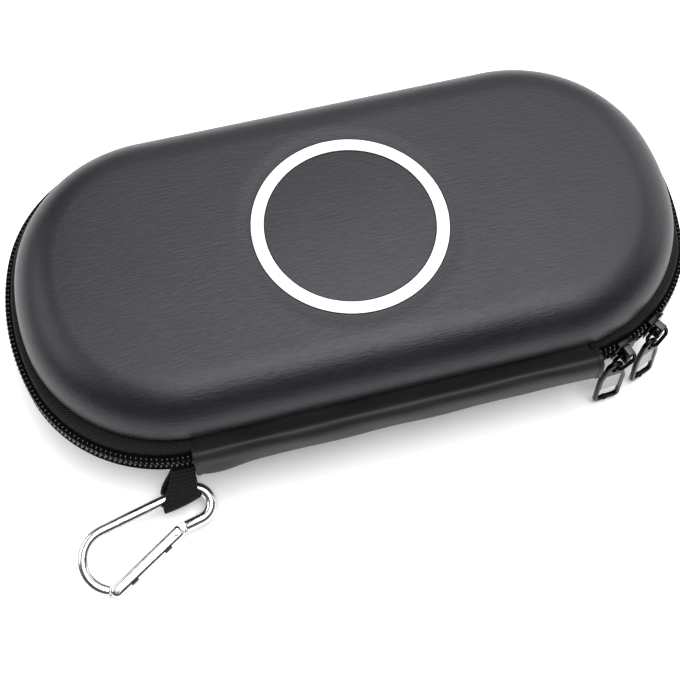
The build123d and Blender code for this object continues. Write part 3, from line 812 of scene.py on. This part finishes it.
LOOP_MIDDLE = -62.23
LOOP_THICK = 1.1
LOOP_EYE = (-53.3, 7.0)
LOOP_EYE_RADIUS = 2.7
LOOP_BEND = (-48.6, 16.7)
LOOP_ROOT = -43.5
LOOP_TOP_WIDTH = 6.3
LOOP_TOP_SHIFT = 1.96
LOOP_ROD_WIDTH = 10.8
LOOP_ROD_SHIFT = -0.6
LOOP_TWIST = 0.23
LOOP_FLARE = 1.25
LOOP_CUP = 0.35
LOOP_ROWS = 12
LOOP_SOFT = 0.25
LOOP_RIB = 1.15


def webbing_loop():
    """Doubled webbing from beside the spine, round the carabiner's rod and back, flaring there."""
    radius = LOOP_EYE_RADIUS + LOOP_THICK / 2
    layer = LOOP_THICK / 2 + 0.05
    middle, bend = Vector(LOOP_EYE), Vector(LOOP_BEND)
    root = Vector((LOOP_ROOT, LOOP_BEND[1]))
    run = middle - bend
    along = run.normalized()
    aside = Vector((along.y, -along.x))

    def leg(side):
        """Points of one layer, with its share of the way down, from its root to the rod."""
        lift = Vector((0, -side * layer))
        flat = [(root + lift + s * (bend - root), 0.0) for s in [0.0] + shares(4)]
        for s in shares(11)[:-1]:
            wide = layer + (radius - layer) * ease(s)
            flat.append((bend + s * run + side * aside * wide, s))
        return flat

    path = leg(-1)
    for s in [0.0] + shares(14):
        turn = s * pi
        path.append((middle - aside * radius * cos(turn) + along * radius * sin(turn), 1.0))
    path += reversed(leg(1))
    rows = []
    for k in range(LOOP_ROWS + 1):
        across = 2 * k / LOOP_ROWS - 1
        row = []
        for spot, down in path:
            flare = down**LOOP_FLARE
            width = LOOP_TOP_WIDTH + flare * (LOOP_ROD_WIDTH - LOOP_TOP_WIDTH)
            shift = LOOP_TOP_SHIFT + ease(down) * (LOOP_ROD_SHIFT - LOOP_TOP_SHIFT)
            off = across * width / 2
            cup = LOOP_CUP * flare * (1 - across**2)
            out = spot.x + ease(down) * LOOP_TWIST * off - cup
            row.append((LOOP_MIDDLE + shift + off, out, spot.y))
        rows.append(row)
    piece = sheet(rows)
    weld(piece, outwards=False)
    apply_modifier(piece, "SOLIDIFY", thickness=(LOOP_THICK - 0.15) * MM, offset=0.0)
    soften(piece, LOOP_SOFT, 2, 60)
    weld(piece)
    length = sum((b[0] - a[0]).length for a, b in zip(path, path[1:]))
    tints = ("#111113", "#020203")
    cloth = ribbed_webbing("grosgrain_webbing", length, LOOP_ROD_WIDTH, LOOP_RIB, *tints)
    return finished(piece, "webbing_band", [cloth], "base", ["webbing_loop"], 60)


LINK_WIRE = 1.1
LINK_HALF_WIDTH = 1.65
LINK_STRAIGHT = 3.2
LINK_DROOP = 30.0
LUG_AXIS_OUT = 3.75
SLIDER_ANGLES = {"left": 16.6, "right": 32.2}
TAB_LEAN, TAB_OUTWARDS, TAB_TWIST = 1.0, 8.0, 12.0
PLATE_CORNER = 2.4
# Plates of a slider: half length, half width, span outwards, softness
OUTER_PLATE = (4.0, 4.1, (0.9, 1.38), 0.2)
INNER_PLATE = (3.8, 4.1, (-3.9, -3.1), 0.3)
# Blocks of a slider: spans along the zip, outwards and up, softness and its steps
FLANGES = [((-2.4, 2.4), (-0.4, 1.2), up, 0.26) for up in ((3.55, 4.1), (-4.1, -3.55))]
LUGS = [((-1.15, 1.15), (1.1, 4.45), up, 0.32, 4) for up in ((1.95, 3.1), (-3.1, -1.95))]
LUG_BAR = ((-0.65, 0.65), (3.1, 4.4), (-2.3, 2.3), 0.5, 4)
POST_SPAN = (3.2, 0.8)
POST = ((-3.2, 1.0), (-0.25, 0.25), 0.05, 1)


def turned(angle, axis):
    return Matrix.Rotation(radians(angle), 4, axis)


def moved(x, y, z):
    return Matrix.Translation((x * MM, y * MM, z * MM))


def on_corner(side):
    """Frame of a slider: x along the zip, -y outwards from the corner's axis."""
    return moved(PARK_X, -PARK_Y, 0) @ turned(SLIDER_ANGLES[side], "Z")


def placed(piece, matrix):
    """Sets a piece that was modelled at the origin into its place, in its mesh."""
    piece.data.transform(matrix)
    piece.data.update()
    return piece


def block(*spans):
    """Cube of given spans along the zip, outwards and up, about the corner's axis."""
    along, out, up = (sum(span) / 2 for span in spans)
    return fresh(
        bpy.ops.mesh.primitive_cube_add, size=1,
        location=(along * MM, (-PARK_RADIUS - out) * MM, (MID + up) * MM),
        scale=[abs(span[1] - span[0]) * MM for span in spans],
    )


def rounded_block(along, out, up, width, segments=3):
    piece = block(along, out, up)
    soften(piece, width, segments)
    return piece


def joined(pieces):
    deselect()
    for piece in pieces:
        piece.select_set(True)
    bpy.context.view_layer.objects.active = pieces[0]
    bpy.ops.object.join()
    return pieces[0]


def corner_rounded(piece, width):
    """Bevels the edges that run across the zip, so a plate gets round corners."""
    unselect(piece, "EDGE")
    for edge in piece.data.edges:
        a, b = (piece.data.vertices[i].co for i in edge.vertices)
        edge.select = abs(a.y - b.y) > 0.8 * (a - b).length
    bpy.ops.object.mode_set(mode="EDIT")
    bpy.ops.mesh.bevel(offset=width * MM, segments=6, affect="EDGES")
    leave_edit()


def slider_plate(half, wide, out, soft):
    """Plate of a slider with round corners and soft edges."""
    piece = block((-half, half), out, (-wide, wide))
    corner_rounded(piece, PLATE_CORNER)
    soften(piece, soft, 3, 50)
    return piece


def slider(side):
    """Die-cast slider: outer plate with flanges and lug bridge, post and inner plate, softened."""
    towards = 1 if side == "left" else -1
    post = sorted(towards * x for x in POST_SPAN)
    blocks = FLANGES + [(post, *POST)] + LUGS + [LUG_BAR]
    pieces = [slider_plate(*OUTER_PLATE), slider_plate(*INNER_PLATE)]
    piece = joined(pieces + [rounded_block(*block) for block in blocks])
    # Upward faces on top of the lug bridge take the pale zinc: a painted highlight of the overhead
    # light
    for face in piece.data.polygons:
        highlighted_lug_top = face.normal.z > 0.9 and face.center.y < (-PARK_RADIUS - 2.0) * MM
        height = face.center.z / MM - MID
        face.material_index = 1 if highlighted_lug_top and 2.8 < height < 3.3 else 0
    placed(piece, on_corner(side))
    metal_and_painted_light = [DARK_ZINC, HIGHLIGHT_PAINTED_ZINC]
    name, body = side + "_zip_slider", side + "_slider"
    return finished(piece, name, metal_and_painted_light, body, [side + "_slider"])


def pull_link(side):
    """Oval wire ring: a torus with its far half drawn out, hung on the lug's bar."""
    piece = fresh(
        bpy.ops.mesh.primitive_torus_add,
        major_radius=LINK_HALF_WIDTH * MM, minor_radius=LINK_WIRE / 2 * MM,
        major_segments=48, minor_segments=18,
    )
    select_points(piece, lambda x, y, z: x < -1e-4)
    bpy.ops.transform.translate(value=(-LINK_STRAIGHT * MM, 0, 0))
    leave_edit()
    place = on_corner(side) @ moved(0, -PARK_RADIUS - LUG_AXIS_OUT, MID) @ turned(-LINK_DROOP, "Y")
    placed(piece, place)
    name, body = side + "_oval_link", side + "_link"
    return finished(piece, name, [DARK_ZINC], body, [side + "_pull_link"], 60)


TAB_THICK = 1.4
TAB_TOP_RADIUS = 2.7
TAB_HALF_WIDTH = 4.2
TAB_WIDE_AT = 5.2
TAB_LENGTH = 17.0
TAB_HOLE_RADIUS = 1.3
TAB_HOLE_TOOL = 4.0
TAB_HANG = 0.4
TAB_CORNER = 1.6
TAB_FRAME = 1.25
TAB_SOFT = 0.4
TAB_WINDOW = (10.6, 15.6)
TAB_WINDOW_CORNER = 0.9
TAB_RECESS_TOP = 3.0
TAB_RECESS_DEPTH = 0.38
TAB_RECESS_OVERLAP = 0.6
NUB_RADIUS = 0.95
NUB_AT = (-0.6, 0.7 - TAB_LENGTH)
NUB_STRETCH = (1.2, 1.0, 1.0)


def round_corner(x, y, radius, start):
    """Points of a quarter turn about (x, y), anticlockwise from an angle in degrees."""
    turns = [radians(start + 90 * i / 6) for i in range(7)]
    return [(x + radius * cos(t), y + radius * sin(t)) for t in turns]


def plate(points, low, high):
    """Plate of an outline in millimetres, filled and extruded between two heights."""
    piece = fresh(bpy.ops.mesh.primitive_circle_add, vertices=len(points), fill_type="NGON")
    for point, (x, y) in zip(piece.data.vertices, points):
        point.co = (x * MM, y * MM, low * MM)
    edit()
    bpy.ops.mesh.extrude_region_move(
        TRANSFORM_OT_translate={"value": (0, 0, (high - low) * MM)}
    )
    leave_edit(outwards=True)
    return piece


def cut(piece, tool):
    apply_modifier(piece, "BOOLEAN", operation="DIFFERENCE", object=tool, solver="EXACT")
    bpy.data.objects.remove(tool)


def tab_frame():
    """Tab's outline with its open window, rounded like a cast frame."""
    half, corner, end = TAB_HALF_WIDTH, TAB_CORNER, TAB_LENGTH
    turns = [radians(a) for a in range(0, 181, 8)]
    eye = [(TAB_TOP_RADIUS * cos(t), TAB_TOP_RADIUS * sin(t)) for t in turns]
    left = [(-half, -TAB_WIDE_AT)] + round_corner(corner - half, corner - end, corner, 180)
    right = round_corner(half - corner, corner - end, corner, 270) + [(half, -TAB_WIDE_AT)]
    piece = plate(eye + left + right, -TAB_THICK / 2, TAB_THICK / 2)
    wide = half - TAB_FRAME
    top, low, bend = -TAB_WINDOW[0], -TAB_WINDOW[1], TAB_WINDOW_CORNER
    window = [(wide, top), (-wide, top)]
    window += round_corner(bend - wide, low + bend, bend, 180)
    window += round_corner(wide - bend, low + bend, bend, 270)
    cut(piece, plate(window, -TAB_THICK, TAB_THICK))
    soften(piece, TAB_SOFT, 4, 50)
    return piece


def pull_tab(side):
    """Die-cast pull tab: eye, flat sunk web, open window and a small cast nub on its lower bar."""
    piece = tab_frame()
    hole = fresh(
        bpy.ops.mesh.primitive_cylinder_add, vertices=32, radius=TAB_HOLE_RADIUS * MM,
        depth=TAB_HOLE_TOOL * MM,
    )
    cut(piece, hole)
    wide = TAB_HALF_WIDTH - TAB_FRAME
    narrow = wide - (TAB_HALF_WIDTH - TAB_TOP_RADIUS) * (1 - TAB_RECESS_TOP / TAB_WIDE_AT)
    low = -TAB_WINDOW[0] - TAB_RECESS_OVERLAP
    web = [
        (narrow, -TAB_RECESS_TOP), (-narrow, -TAB_RECESS_TOP), (-wide, -TAB_WIDE_AT), (-wide, low),
        (wide, low), (wide, -TAB_WIDE_AT),
    ]
    deep = TAB_THICK / 2 - TAB_RECESS_DEPTH
    cut(piece, plate(web, deep, TAB_THICK))
    cut(piece, plate(web, -TAB_THICK, -deep))
    nub = fresh(
        bpy.ops.mesh.primitive_uv_sphere_add,
        segments=20, ring_count=12, radius=NUB_RADIUS * MM,
        location=(NUB_AT[0] * MM, NUB_AT[1] * MM, 0), scale=NUB_STRETCH,
    )
    piece = joined([piece, nub])
    # The flat faces of the sunk web take the pale zinc: a painted reflection of the bright table
    # and lights
    for face in piece.data.polygons:
        flat = abs(abs(face.normal.z) - 1) < 1e-3 and abs(abs(face.center.z) - deep * MM) < 1e-5
        face.material_index = 1 if flat else 0
    far = LINK_STRAIGHT + LINK_HALF_WIDTH
    drop = radians(LINK_DROOP)
    place = (
        on_corner(side)
        @ moved(-far * cos(drop), -PARK_RADIUS - LUG_AXIS_OUT, MID - far * sin(drop))
        @ turned(-TAB_TWIST, "Z") @ turned(-TAB_OUTWARDS, "X") @ turned(TAB_LEAN, "Y")
        @ turned(90, "X") @ moved(0, -TAB_HANG, 0)
    )
    placed(piece, place)
    metal_and_painted_light = [DARK_ZINC, REFLECTION_PAINTED_ZINC]
    name, body = side + "_cast_tab", side + "_tab"
    return finished(piece, name, metal_and_painted_light, body, [side + "_pull_tab"], 35)


ROD_RADIUS = 1.65
ROD_SOFT = 0.45
CARABINER_AT = (LOOP_MIDDLE + 1.7, -HALF_WIDTH - 2.3, 7.0)
CARABINER_TURN = radians(13.0)
HOOK_RADIUS = 4.6
BIG_END_RADIUS = 8.6
END_DISTANCE = 26.4
REST_HEIGHT = 0.3
NOSE = (5.0, 9.2)
PIVOT_ANGLE = radians(71.0)
ROD_END_ANGLE = 58.0
PIVOT = (END_DISTANCE + BIG_END_RADIUS * cos(PIVOT_ANGLE), BIG_END_RADIUS * (1 + sin(PIVOT_ANGLE)))
GATE_TIP = (NOSE[0] + 1.1, NOSE[1])
GATE_TURN = degrees(atan2(PIVOT[1] - GATE_TIP[1], PIVOT[0] - GATE_TIP[0]))
GATE_LENGTH = hypot(PIVOT[0] - GATE_TIP[0], PIVOT[1] - GATE_TIP[1])


def carabiner_frame():
    """Frame of the carabiner's plane: x along the spine, y outwards and down to the table."""
    fall = (CARABINER_AT[2] - ROD_RADIUS - REST_HEIGHT) / (2 * BIG_END_RADIUS)
    lie = sqrt(1 - fall**2)
    along = Vector((-cos(CARABINER_TURN), -sin(CARABINER_TURN), 0))
    outwards = Vector((sin(CARABINER_TURN) * lie, -cos(CARABINER_TURN) * lie, -fall))
    made = Matrix((along, outwards, along.cross(outwards))).transposed().to_4x4()
    made.translation = Vector(CARABINER_AT) * MM
    return made


def gate_frame():
    return carabiner_frame() @ moved(GATE_TIP[0], GATE_TIP[1], 0) @ turned(GATE_TURN, "Z")


def bent_rod():
    """Round rod run out from the nose, spun round the hook, run along the spine and spun again."""
    piece = fresh(
        bpy.ops.mesh.primitive_circle_add,
        vertices=28, radius=ROD_RADIUS * MM, location=(NOSE[0] * MM, NOSE[1] * MM, 0),
        rotation=(0, pi / 2, 0),
    )
    edit()
    bpy.ops.mesh.extrude_edges_move(TRANSFORM_OT_translate={"value": (-NOSE[0] * MM, 0, 0)})
    bpy.ops.mesh.spin(steps=28, angle=-pi, center=(0, HOOK_RADIUS * MM, 0), axis=(0, 0, 1))
    bpy.ops.mesh.extrude_edges_move(TRANSFORM_OT_translate={"value": (END_DISTANCE * MM, 0, 0)})
    bpy.ops.mesh.spin(
        steps=36, angle=-radians(90 + ROD_END_ANGLE),
        center=(END_DISTANCE * MM, BIG_END_RADIUS * MM, 0), axis=(0, 0, 1),
    )
    bpy.ops.mesh.select_all(action="SELECT")
    bpy.ops.mesh.remove_doubles(threshold=1e-6)
    bpy.ops.mesh.select_non_manifold()
    bpy.ops.mesh.edge_face_add()
    bpy.ops.mesh.select_all(action="SELECT")
    bpy.ops.mesh.fill_holes(sides=0)
    leave_edit(outwards=True)
    return piece


TONGUE_THICK = 1.2
TONGUE_RADIUS = 1.45
TONGUE_SOFT = 0.25
FORK_SLOT = 1.7
PIVOT_FORK = 2.2
LATCH_FORK = 4.2
LATCH_AT = 2.2
GATE_NOSE_GAP = 1.1
LATCH_TONGUE = 3.8
RIVET_RADIUS = 0.65
RIVET_SOFT = 0.28
RIVET_LENGTH = 4.0
TONGUE_ROOT = -1.0
NECK_SPAN = (-2.0, 2.4)


def rectangle(x_span, y_span):
    (x0, x1), (y0, y1) = x_span, y_span
    return [(x0, y0), (x1, y0), (x1, y1), (x0, y1)]


def box_plate(x_span, y_span, thick):
    """Plate across the carabiner's plane between two x and two y values."""
    return plate(rectangle(x_span, y_span), -thick / 2, thick / 2)


def carabiner():
    """Bent rod with softened ends, a flat nose tongue in the gate's fork and one at its pivot."""
    rod = bent_rod()
    soften(rod, ROD_SOFT, 3, 60)
    across = (-TONGUE_RADIUS, TONGUE_RADIUS)
    nose = box_plate((-GATE_NOSE_GAP, LATCH_TONGUE), across, TONGUE_THICK)
    placed(nose, moved(GATE_TIP[0], GATE_TIP[1], 0) @ turned(GATE_TURN, "Z"))
    root = box_plate((TONGUE_ROOT, GATE_NOSE_GAP), across, TONGUE_THICK)
    placed(root, moved(NOSE[0], NOSE[1], 0))
    turn = (degrees(PIVOT_ANGLE) + ROD_END_ANGLE) / 2
    neck = box_plate(NECK_SPAN, across, TONGUE_THICK)
    reach = BIG_END_RADIUS * cos(radians(turn)), BIG_END_RADIUS * (1 + sin(radians(turn)))
    placed(neck, moved(END_DISTANCE + reach[0], reach[1], 0) @ turned(turn + 90, "Z"))
    for tongue in (nose, root, neck):
        soften(tongue, TONGUE_SOFT)
    piece = placed(joined([rod, nose, root, neck]), carabiner_frame())
    return finished(
        piece, "bent_hook", [ALUMINIUM], "carabiner", ["carabiner_hook"], 40
    )


GATE_HALF_WIDTH = 1.95
GATE_HALF_THICK = 1.75
GATE_ROLL = 1.35
OPENING_LENGTH = 2.4
OPENING_DEPTH = 1.0
OPENING_FLOOR = -0.5
OPENINGS = (LATCH_FORK + 1.2, GATE_LENGTH - PIVOT_FORK - 4.2)
SEAM_ENDS = (LATCH_FORK, GATE_LENGTH - 3.0)
SEAM_SIDES = (-0.7, -0.3)
SEAM_DEPTH = 0.5
CLEAR = 1.0


def gate():
    """Rolled channel gate: round pivot end, forked ends, a rolled seam, two openings outside with
    painted shade in them.
    """
    half, thick = GATE_HALF_WIDTH, GATE_HALF_THICK
    turns = [radians(a) for a in range(-90, 91, 10)]
    side = [(GATE_LENGTH + half * cos(t), half * sin(t)) for t in turns]
    piece = plate([(0, half), (0, -half)] + side, -thick, thick)
    soften(piece, GATE_ROLL, 6, 60)
    wide = 2 * half
    cut(piece, box_plate((-CLEAR, LATCH_FORK), (-wide, wide), FORK_SLOT))
    fork = (GATE_LENGTH - PIVOT_FORK, GATE_LENGTH + wide)
    cut(piece, box_plate(fork, (-wide, wide), FORK_SLOT))
    for start in OPENINGS:
        sides = (half - OPENING_DEPTH, half + CLEAR)
        hole = rectangle((start, start + OPENING_LENGTH), sides)
        cut(piece, plate(hole, OPENING_FLOOR, thick + CLEAR))
    cut(piece, plate(rectangle(SEAM_ENDS, SEAM_SIDES), thick - SEAM_DEPTH, thick + CLEAR))
    # The floors and end walls of the two openings take dark zinc: painted shade standing in for the
    # gate's dark hollow
    for face in piece.data.polygons:
        x, y, z = face.center / MM
        within = any(0 <= x - start <= OPENING_LENGTH for start in OPENINGS)
        deep = y > half - OPENING_DEPTH - 0.02
        floor = face.normal.z > 0.99 and z < 0
        wall = abs(face.normal.x) > 0.9
        face.material_index = 1 if within and deep and (floor or wall) else 0
    placed(piece, gate_frame())
    metal_and_painted_light = [ALUMINIUM, DARK_ZINC]
    return finished(
        piece, "rolled_gate", metal_and_painted_light, "gate", ["carabiner_gate"], 35
    )


def gate_rivet(name, along, body, cad_node):
    """Headed rivet across the gate: a pin whose two ends are upset into low domes."""
    piece = fresh(
        bpy.ops.mesh.primitive_cylinder_add,
        vertices=28, radius=RIVET_RADIUS * MM, depth=RIVET_LENGTH * MM, location=(along * MM, 0, 0),
    )
    soften(piece, RIVET_SOFT, 4, 60)
    placed(piece, gate_frame())
    return finished(piece, name, [RIVET_STEEL], body, [cad_node], 40)


BINDING_RING = [
    (11.5, 5.6), (11.4, 5.8), (11.4, 7.6), (11.4, 9.4), (11.5, 9.6), (12.1, 9.6), (12.2, 9.4),
    (12.2, 7.6), (12.2, 5.8), (12.1, 5.6), (11.5, 5.6),
]


def binding(name, lift, body, cad_node):
    """Woven binding tape sewn over the inner edge of the zip tape, right round."""
    rows = [level(outline(inset), MID + lift * up) for inset, up in BINDING_RING]
    piece = sheet(rows)
    weld(piece)
    first = rows[0]
    length = sum(hypot(b[0] - a[0], b[1] - a[1]) for a, b in zip(first, first[1:]))
    width = section_width(BINDING_RING)
    cloth = ribbed_webbing(name + "_weave", length, width, 0.8, "#232325", "#0B0B0C")
    return finished(piece, name, [cloth], body, [cad_node], 50)


POCKET_INSET = 8.5
POCKET_EDGE = 8.0
POCKET_MIDDLE = 30.85
ELASTIC_EDGE = 14.0
STRAP_HALF_WIDTH = 12.5
STRAP_HALF_LENGTH = 30.0
STRAP_MIDDLE = 3.5
STRAP_SEWN = 6
STRAP_LIFT = 0.35
STRAP_ROWS, STRAP_STATIONS = 12, 60
ELASTIC_THICK = 0.8
ELASTIC_SOFT = 0.2
NET_THICK = 0.25
NET_DIP = 0.12


def reach_at(points, y):
    """Largest x at a height y on a closed outline."""
    best = 0.0
    for (x0, y0), (x1, y1) in zip(points, points[1:]):
        if min(y0, y1) <= y <= max(y0, y1) and y0 != y1:
            best = max(best, x0 + (x1 - x0) * (y - y0) / (y1 - y0))
        elif y0 == y1 == y:
            best = max(best, x0, x1)
    return best


def across_lid(low, high, lines, columns, height):
    """Rows of points across the lid between two y values, inside the pocket's outline."""
    points = outline(POCKET_INSET)
    rows = []
    for i in range(lines + 1):
        y = low + (high - low) * i / lines
        reach = reach_at(points, y)
        places = [reach * (2 * k / columns - 1) for k in range(columns + 1)]
        rows.append([(x, y, height(x, y)) for x in places])
    return rows


def padded(rows, thick):
    """Sheet on rows of points, thickened about its middle."""
    piece = sheet(rows)
    weld(piece)
    apply_modifier(piece, "SOLIDIFY", thickness=thick * MM, offset=0.0)
    return piece


def lid_pocket():
    """Net pocket stretched across the front of the lid, dipping slightly between its held edges."""
    edge = POCKET_INSET - HALF_WIDTH + 0.05

    def sag(x, y):
        held = sin(pi * (y - edge) / (POCKET_EDGE - edge))
        return POCKET_MIDDLE + NET_DIP * sin(x / 11.0) * held

    rows = across_lid(edge, POCKET_EDGE, 36, 90, sag)
    piece = padded(rows, NET_THICK)
    finished(piece, "net_pocket", [NET], "lid", ["mesh_pocket"], 50)
    return piece


def pocket_band():
    """Ribbed elastic sewn along the pocket's open edge."""
    rows = across_lid(
        POCKET_EDGE, ELASTIC_EDGE, 8, 120, lambda x, y: POCKET_MIDDLE + 0.3 + 0.06 * sin(x / 1.7)
    )
    piece = padded(rows, ELASTIC_THICK)
    soften(piece, ELASTIC_SOFT, 2, 60)
    cloth = ribbed_webbing("ribbed_elastic", 2 * rows[-1][-1][0], 6.0, 1.0, "#2A2A2C", "#0D0D0E")
    return finished(piece, "pocket_band", [cloth], "lid", ["pocket_elastic"], 50)


def floor_strap():
    """Elastic strap across the floor, sewn down at both ends and lifting slightly between them."""
    rows = []
    for i in range(STRAP_ROWS + 1):
        x = STRAP_HALF_WIDTH * (2 * i / STRAP_ROWS - 1)
        row = []
        for k in range(STRAP_STATIONS + 1):
            y = STRAP_HALF_LENGTH * (2 * k / STRAP_STATIONS - 1)
            free = max(0.0, 1 - (y / (STRAP_HALF_LENGTH - STRAP_SEWN)) ** 2)
            row.append((x, y, STRAP_MIDDLE + STRAP_LIFT * free))
        rows.append(row)
    piece = padded(rows, ELASTIC_THICK)
    soften(piece, ELASTIC_SOFT, 2, 60)
    cloth = ribbed_webbing(
        "woven_elastic", 2 * STRAP_HALF_LENGTH, 2 * STRAP_HALF_WIDTH, 1.2, "#2A2A2C", "#0D0D0E"
    )
    return finished(piece, "floor_strap", [cloth], "base", ["holding_strap"], 50)


TABLE_SIZE = 6.0
LIGHT_AIM = Vector((0.0, 0.0, 0.02))
WORLD_FILL = 0.08
WORLD_SEEN = 0.9
TABLE_GLOW = 0.2
# Name, width, height and power, place, and whether glossy faces mirror it
SOFTBOXES = (
    ("back_softbox", 1.5, 0.9, 4.0, (0.4, 0.95, 0.7), True),
    ("overhead_softbox", 1.3, 0.9, 17.5, (0.18, 0.0, 1.2), True),
    ("left_card", 0.9, 0.7, 5.0, (-0.9, 0.3, 0.7), True),
    ("right_card", 0.9, 0.7, 3.3, (1.0, 0.25, 0.4), True),
    ("table_fill", 2.2, 2.2, 11.5, (0.0, 0.0, 1.7), False),
)


def floor_and_light():
    """Pale table lit from below as well, and soft studio light from above and behind."""
    table = fresh(bpy.ops.mesh.primitive_plane_add, size=TABLE_SIZE)
    table.name = "pale_table"
    made, tree, body = new_material("lit_white_table")
    connect(tree, body, {"Base Color": linear("#F6F6F6"), "Roughness": 0.9})
    connect(tree, body, {"Emission Color": linear("#FFFFFF"), "Emission Strength": TABLE_GLOW})
    table.data.materials.append(made)
    world = bpy.data.worlds.new("studio")
    bpy.context.scene.world = world
    world.use_nodes = True
    tree = world.node_tree
    seen = node(tree, "LightPath")["Is Camera Ray"]
    glow = node(
        tree, "MapRange", {"Value": seen, "To Min": WORLD_FILL, "To Max": WORLD_SEEN}
    )["Result"]
    connect(tree, tree.nodes["Background"], {"Color": linear("#FFFFFF"), "Strength": glow})
    for name, wide, high, power, at, mirrored_in_gloss in SOFTBOXES:
        lamp = bpy.data.lights.new(name, "AREA")
        lamp.shape = "RECTANGLE"
        lamp.size = wide
        lamp.size_y = high
        lamp.energy = power
        holder = bpy.data.objects.new(name, lamp)
        holder.location = at
        holder.visible_glossy = mirrored_in_gloss
        holder.rotation_euler = (LIGHT_AIM - Vector(at)).to_track_quat("-Z", "Y").to_euler()
        bpy.context.collection.objects.link(holder)


CAMERA_TURN = radians(-17.566)
CAMERA_HEIGHT = radians(65.632)
CAMERA_ROLL = radians(3.105)
CAMERA_DISTANCE = 355.305
CAMERA_TARGET = (-9.175, -25.177, 22.0)
SENSOR = 36.0
FOCAL_SHARE = 1247.285 / 680


def camera():
    """Camera at the photograph's angle, distance and lens."""
    back = Vector(
        (
            sin(CAMERA_TURN) * cos(CAMERA_HEIGHT),
            -cos(CAMERA_TURN) * cos(CAMERA_HEIGHT),
            sin(CAMERA_HEIGHT),
        )
    )
    level_right = Vector((cos(CAMERA_TURN), sin(CAMERA_TURN), 0))
    level_up = back.cross(level_right)
    right = cos(CAMERA_ROLL) * level_right + sin(CAMERA_ROLL) * level_up
    up = cos(CAMERA_ROLL) * level_up - sin(CAMERA_ROLL) * level_right
    lens = bpy.data.cameras.new("photo_camera")
    lens.sensor_width = SENSOR
    lens.lens = FOCAL_SHARE * SENSOR
    lens.clip_start = 0.01
    holder = bpy.data.objects.new("photo_camera", lens)
    place = Matrix((right, up, back)).transposed().to_4x4()
    place.translation = (Vector(CAMERA_TARGET) + CAMERA_DISTANCE * back) * MM
    holder.matrix_world = place
    bpy.context.collection.objects.link(holder)
    bpy.context.scene.camera = holder


camera()
floor_and_light()
bpy.context.scene.view_settings.view_transform = "Standard"

shell("lid_moulding", shell_rows(LID_TOP, True), "lid", ["upper_shell"])
shell("base_moulding", mirrored(shell_rows(HEIGHT, False)), "base", ["lower_shell"])
white_ring()
zip_tape("lid_zip_tape", 1, "lid", ["upper_tape"])
zip_tape("base_zip_tape", -1, "base", ["lower_tape"])
zip_coil("lid_zip_coil", 1, False, "lid", ["upper_coil"])
zip_coil("base_zip_coil", -1, True, "base", ["lower_coil"])
hinge_strip()
webbing_loop()
for side in ("left", "right"):
    slider(side)
    pull_link(side)
    pull_tab(side)
carabiner()
gate()
gate_rivet("pivot_pin", GATE_LENGTH, "carabiner", "gate_pivot_rivet")
gate_rivet("latch_pin", LATCH_AT, "gate", "gate_latch_rivet")
spring = bpy.data.objects["gate_spring"]
spring.data.materials.clear()
spring.data.materials.append(RIVET_STEEL)
binding("lid_binding", 1, "lid", "upper_binding")
binding("base_binding", -1, "base", "lower_binding")
pocket_band()
lid_pocket()
floor_strap()
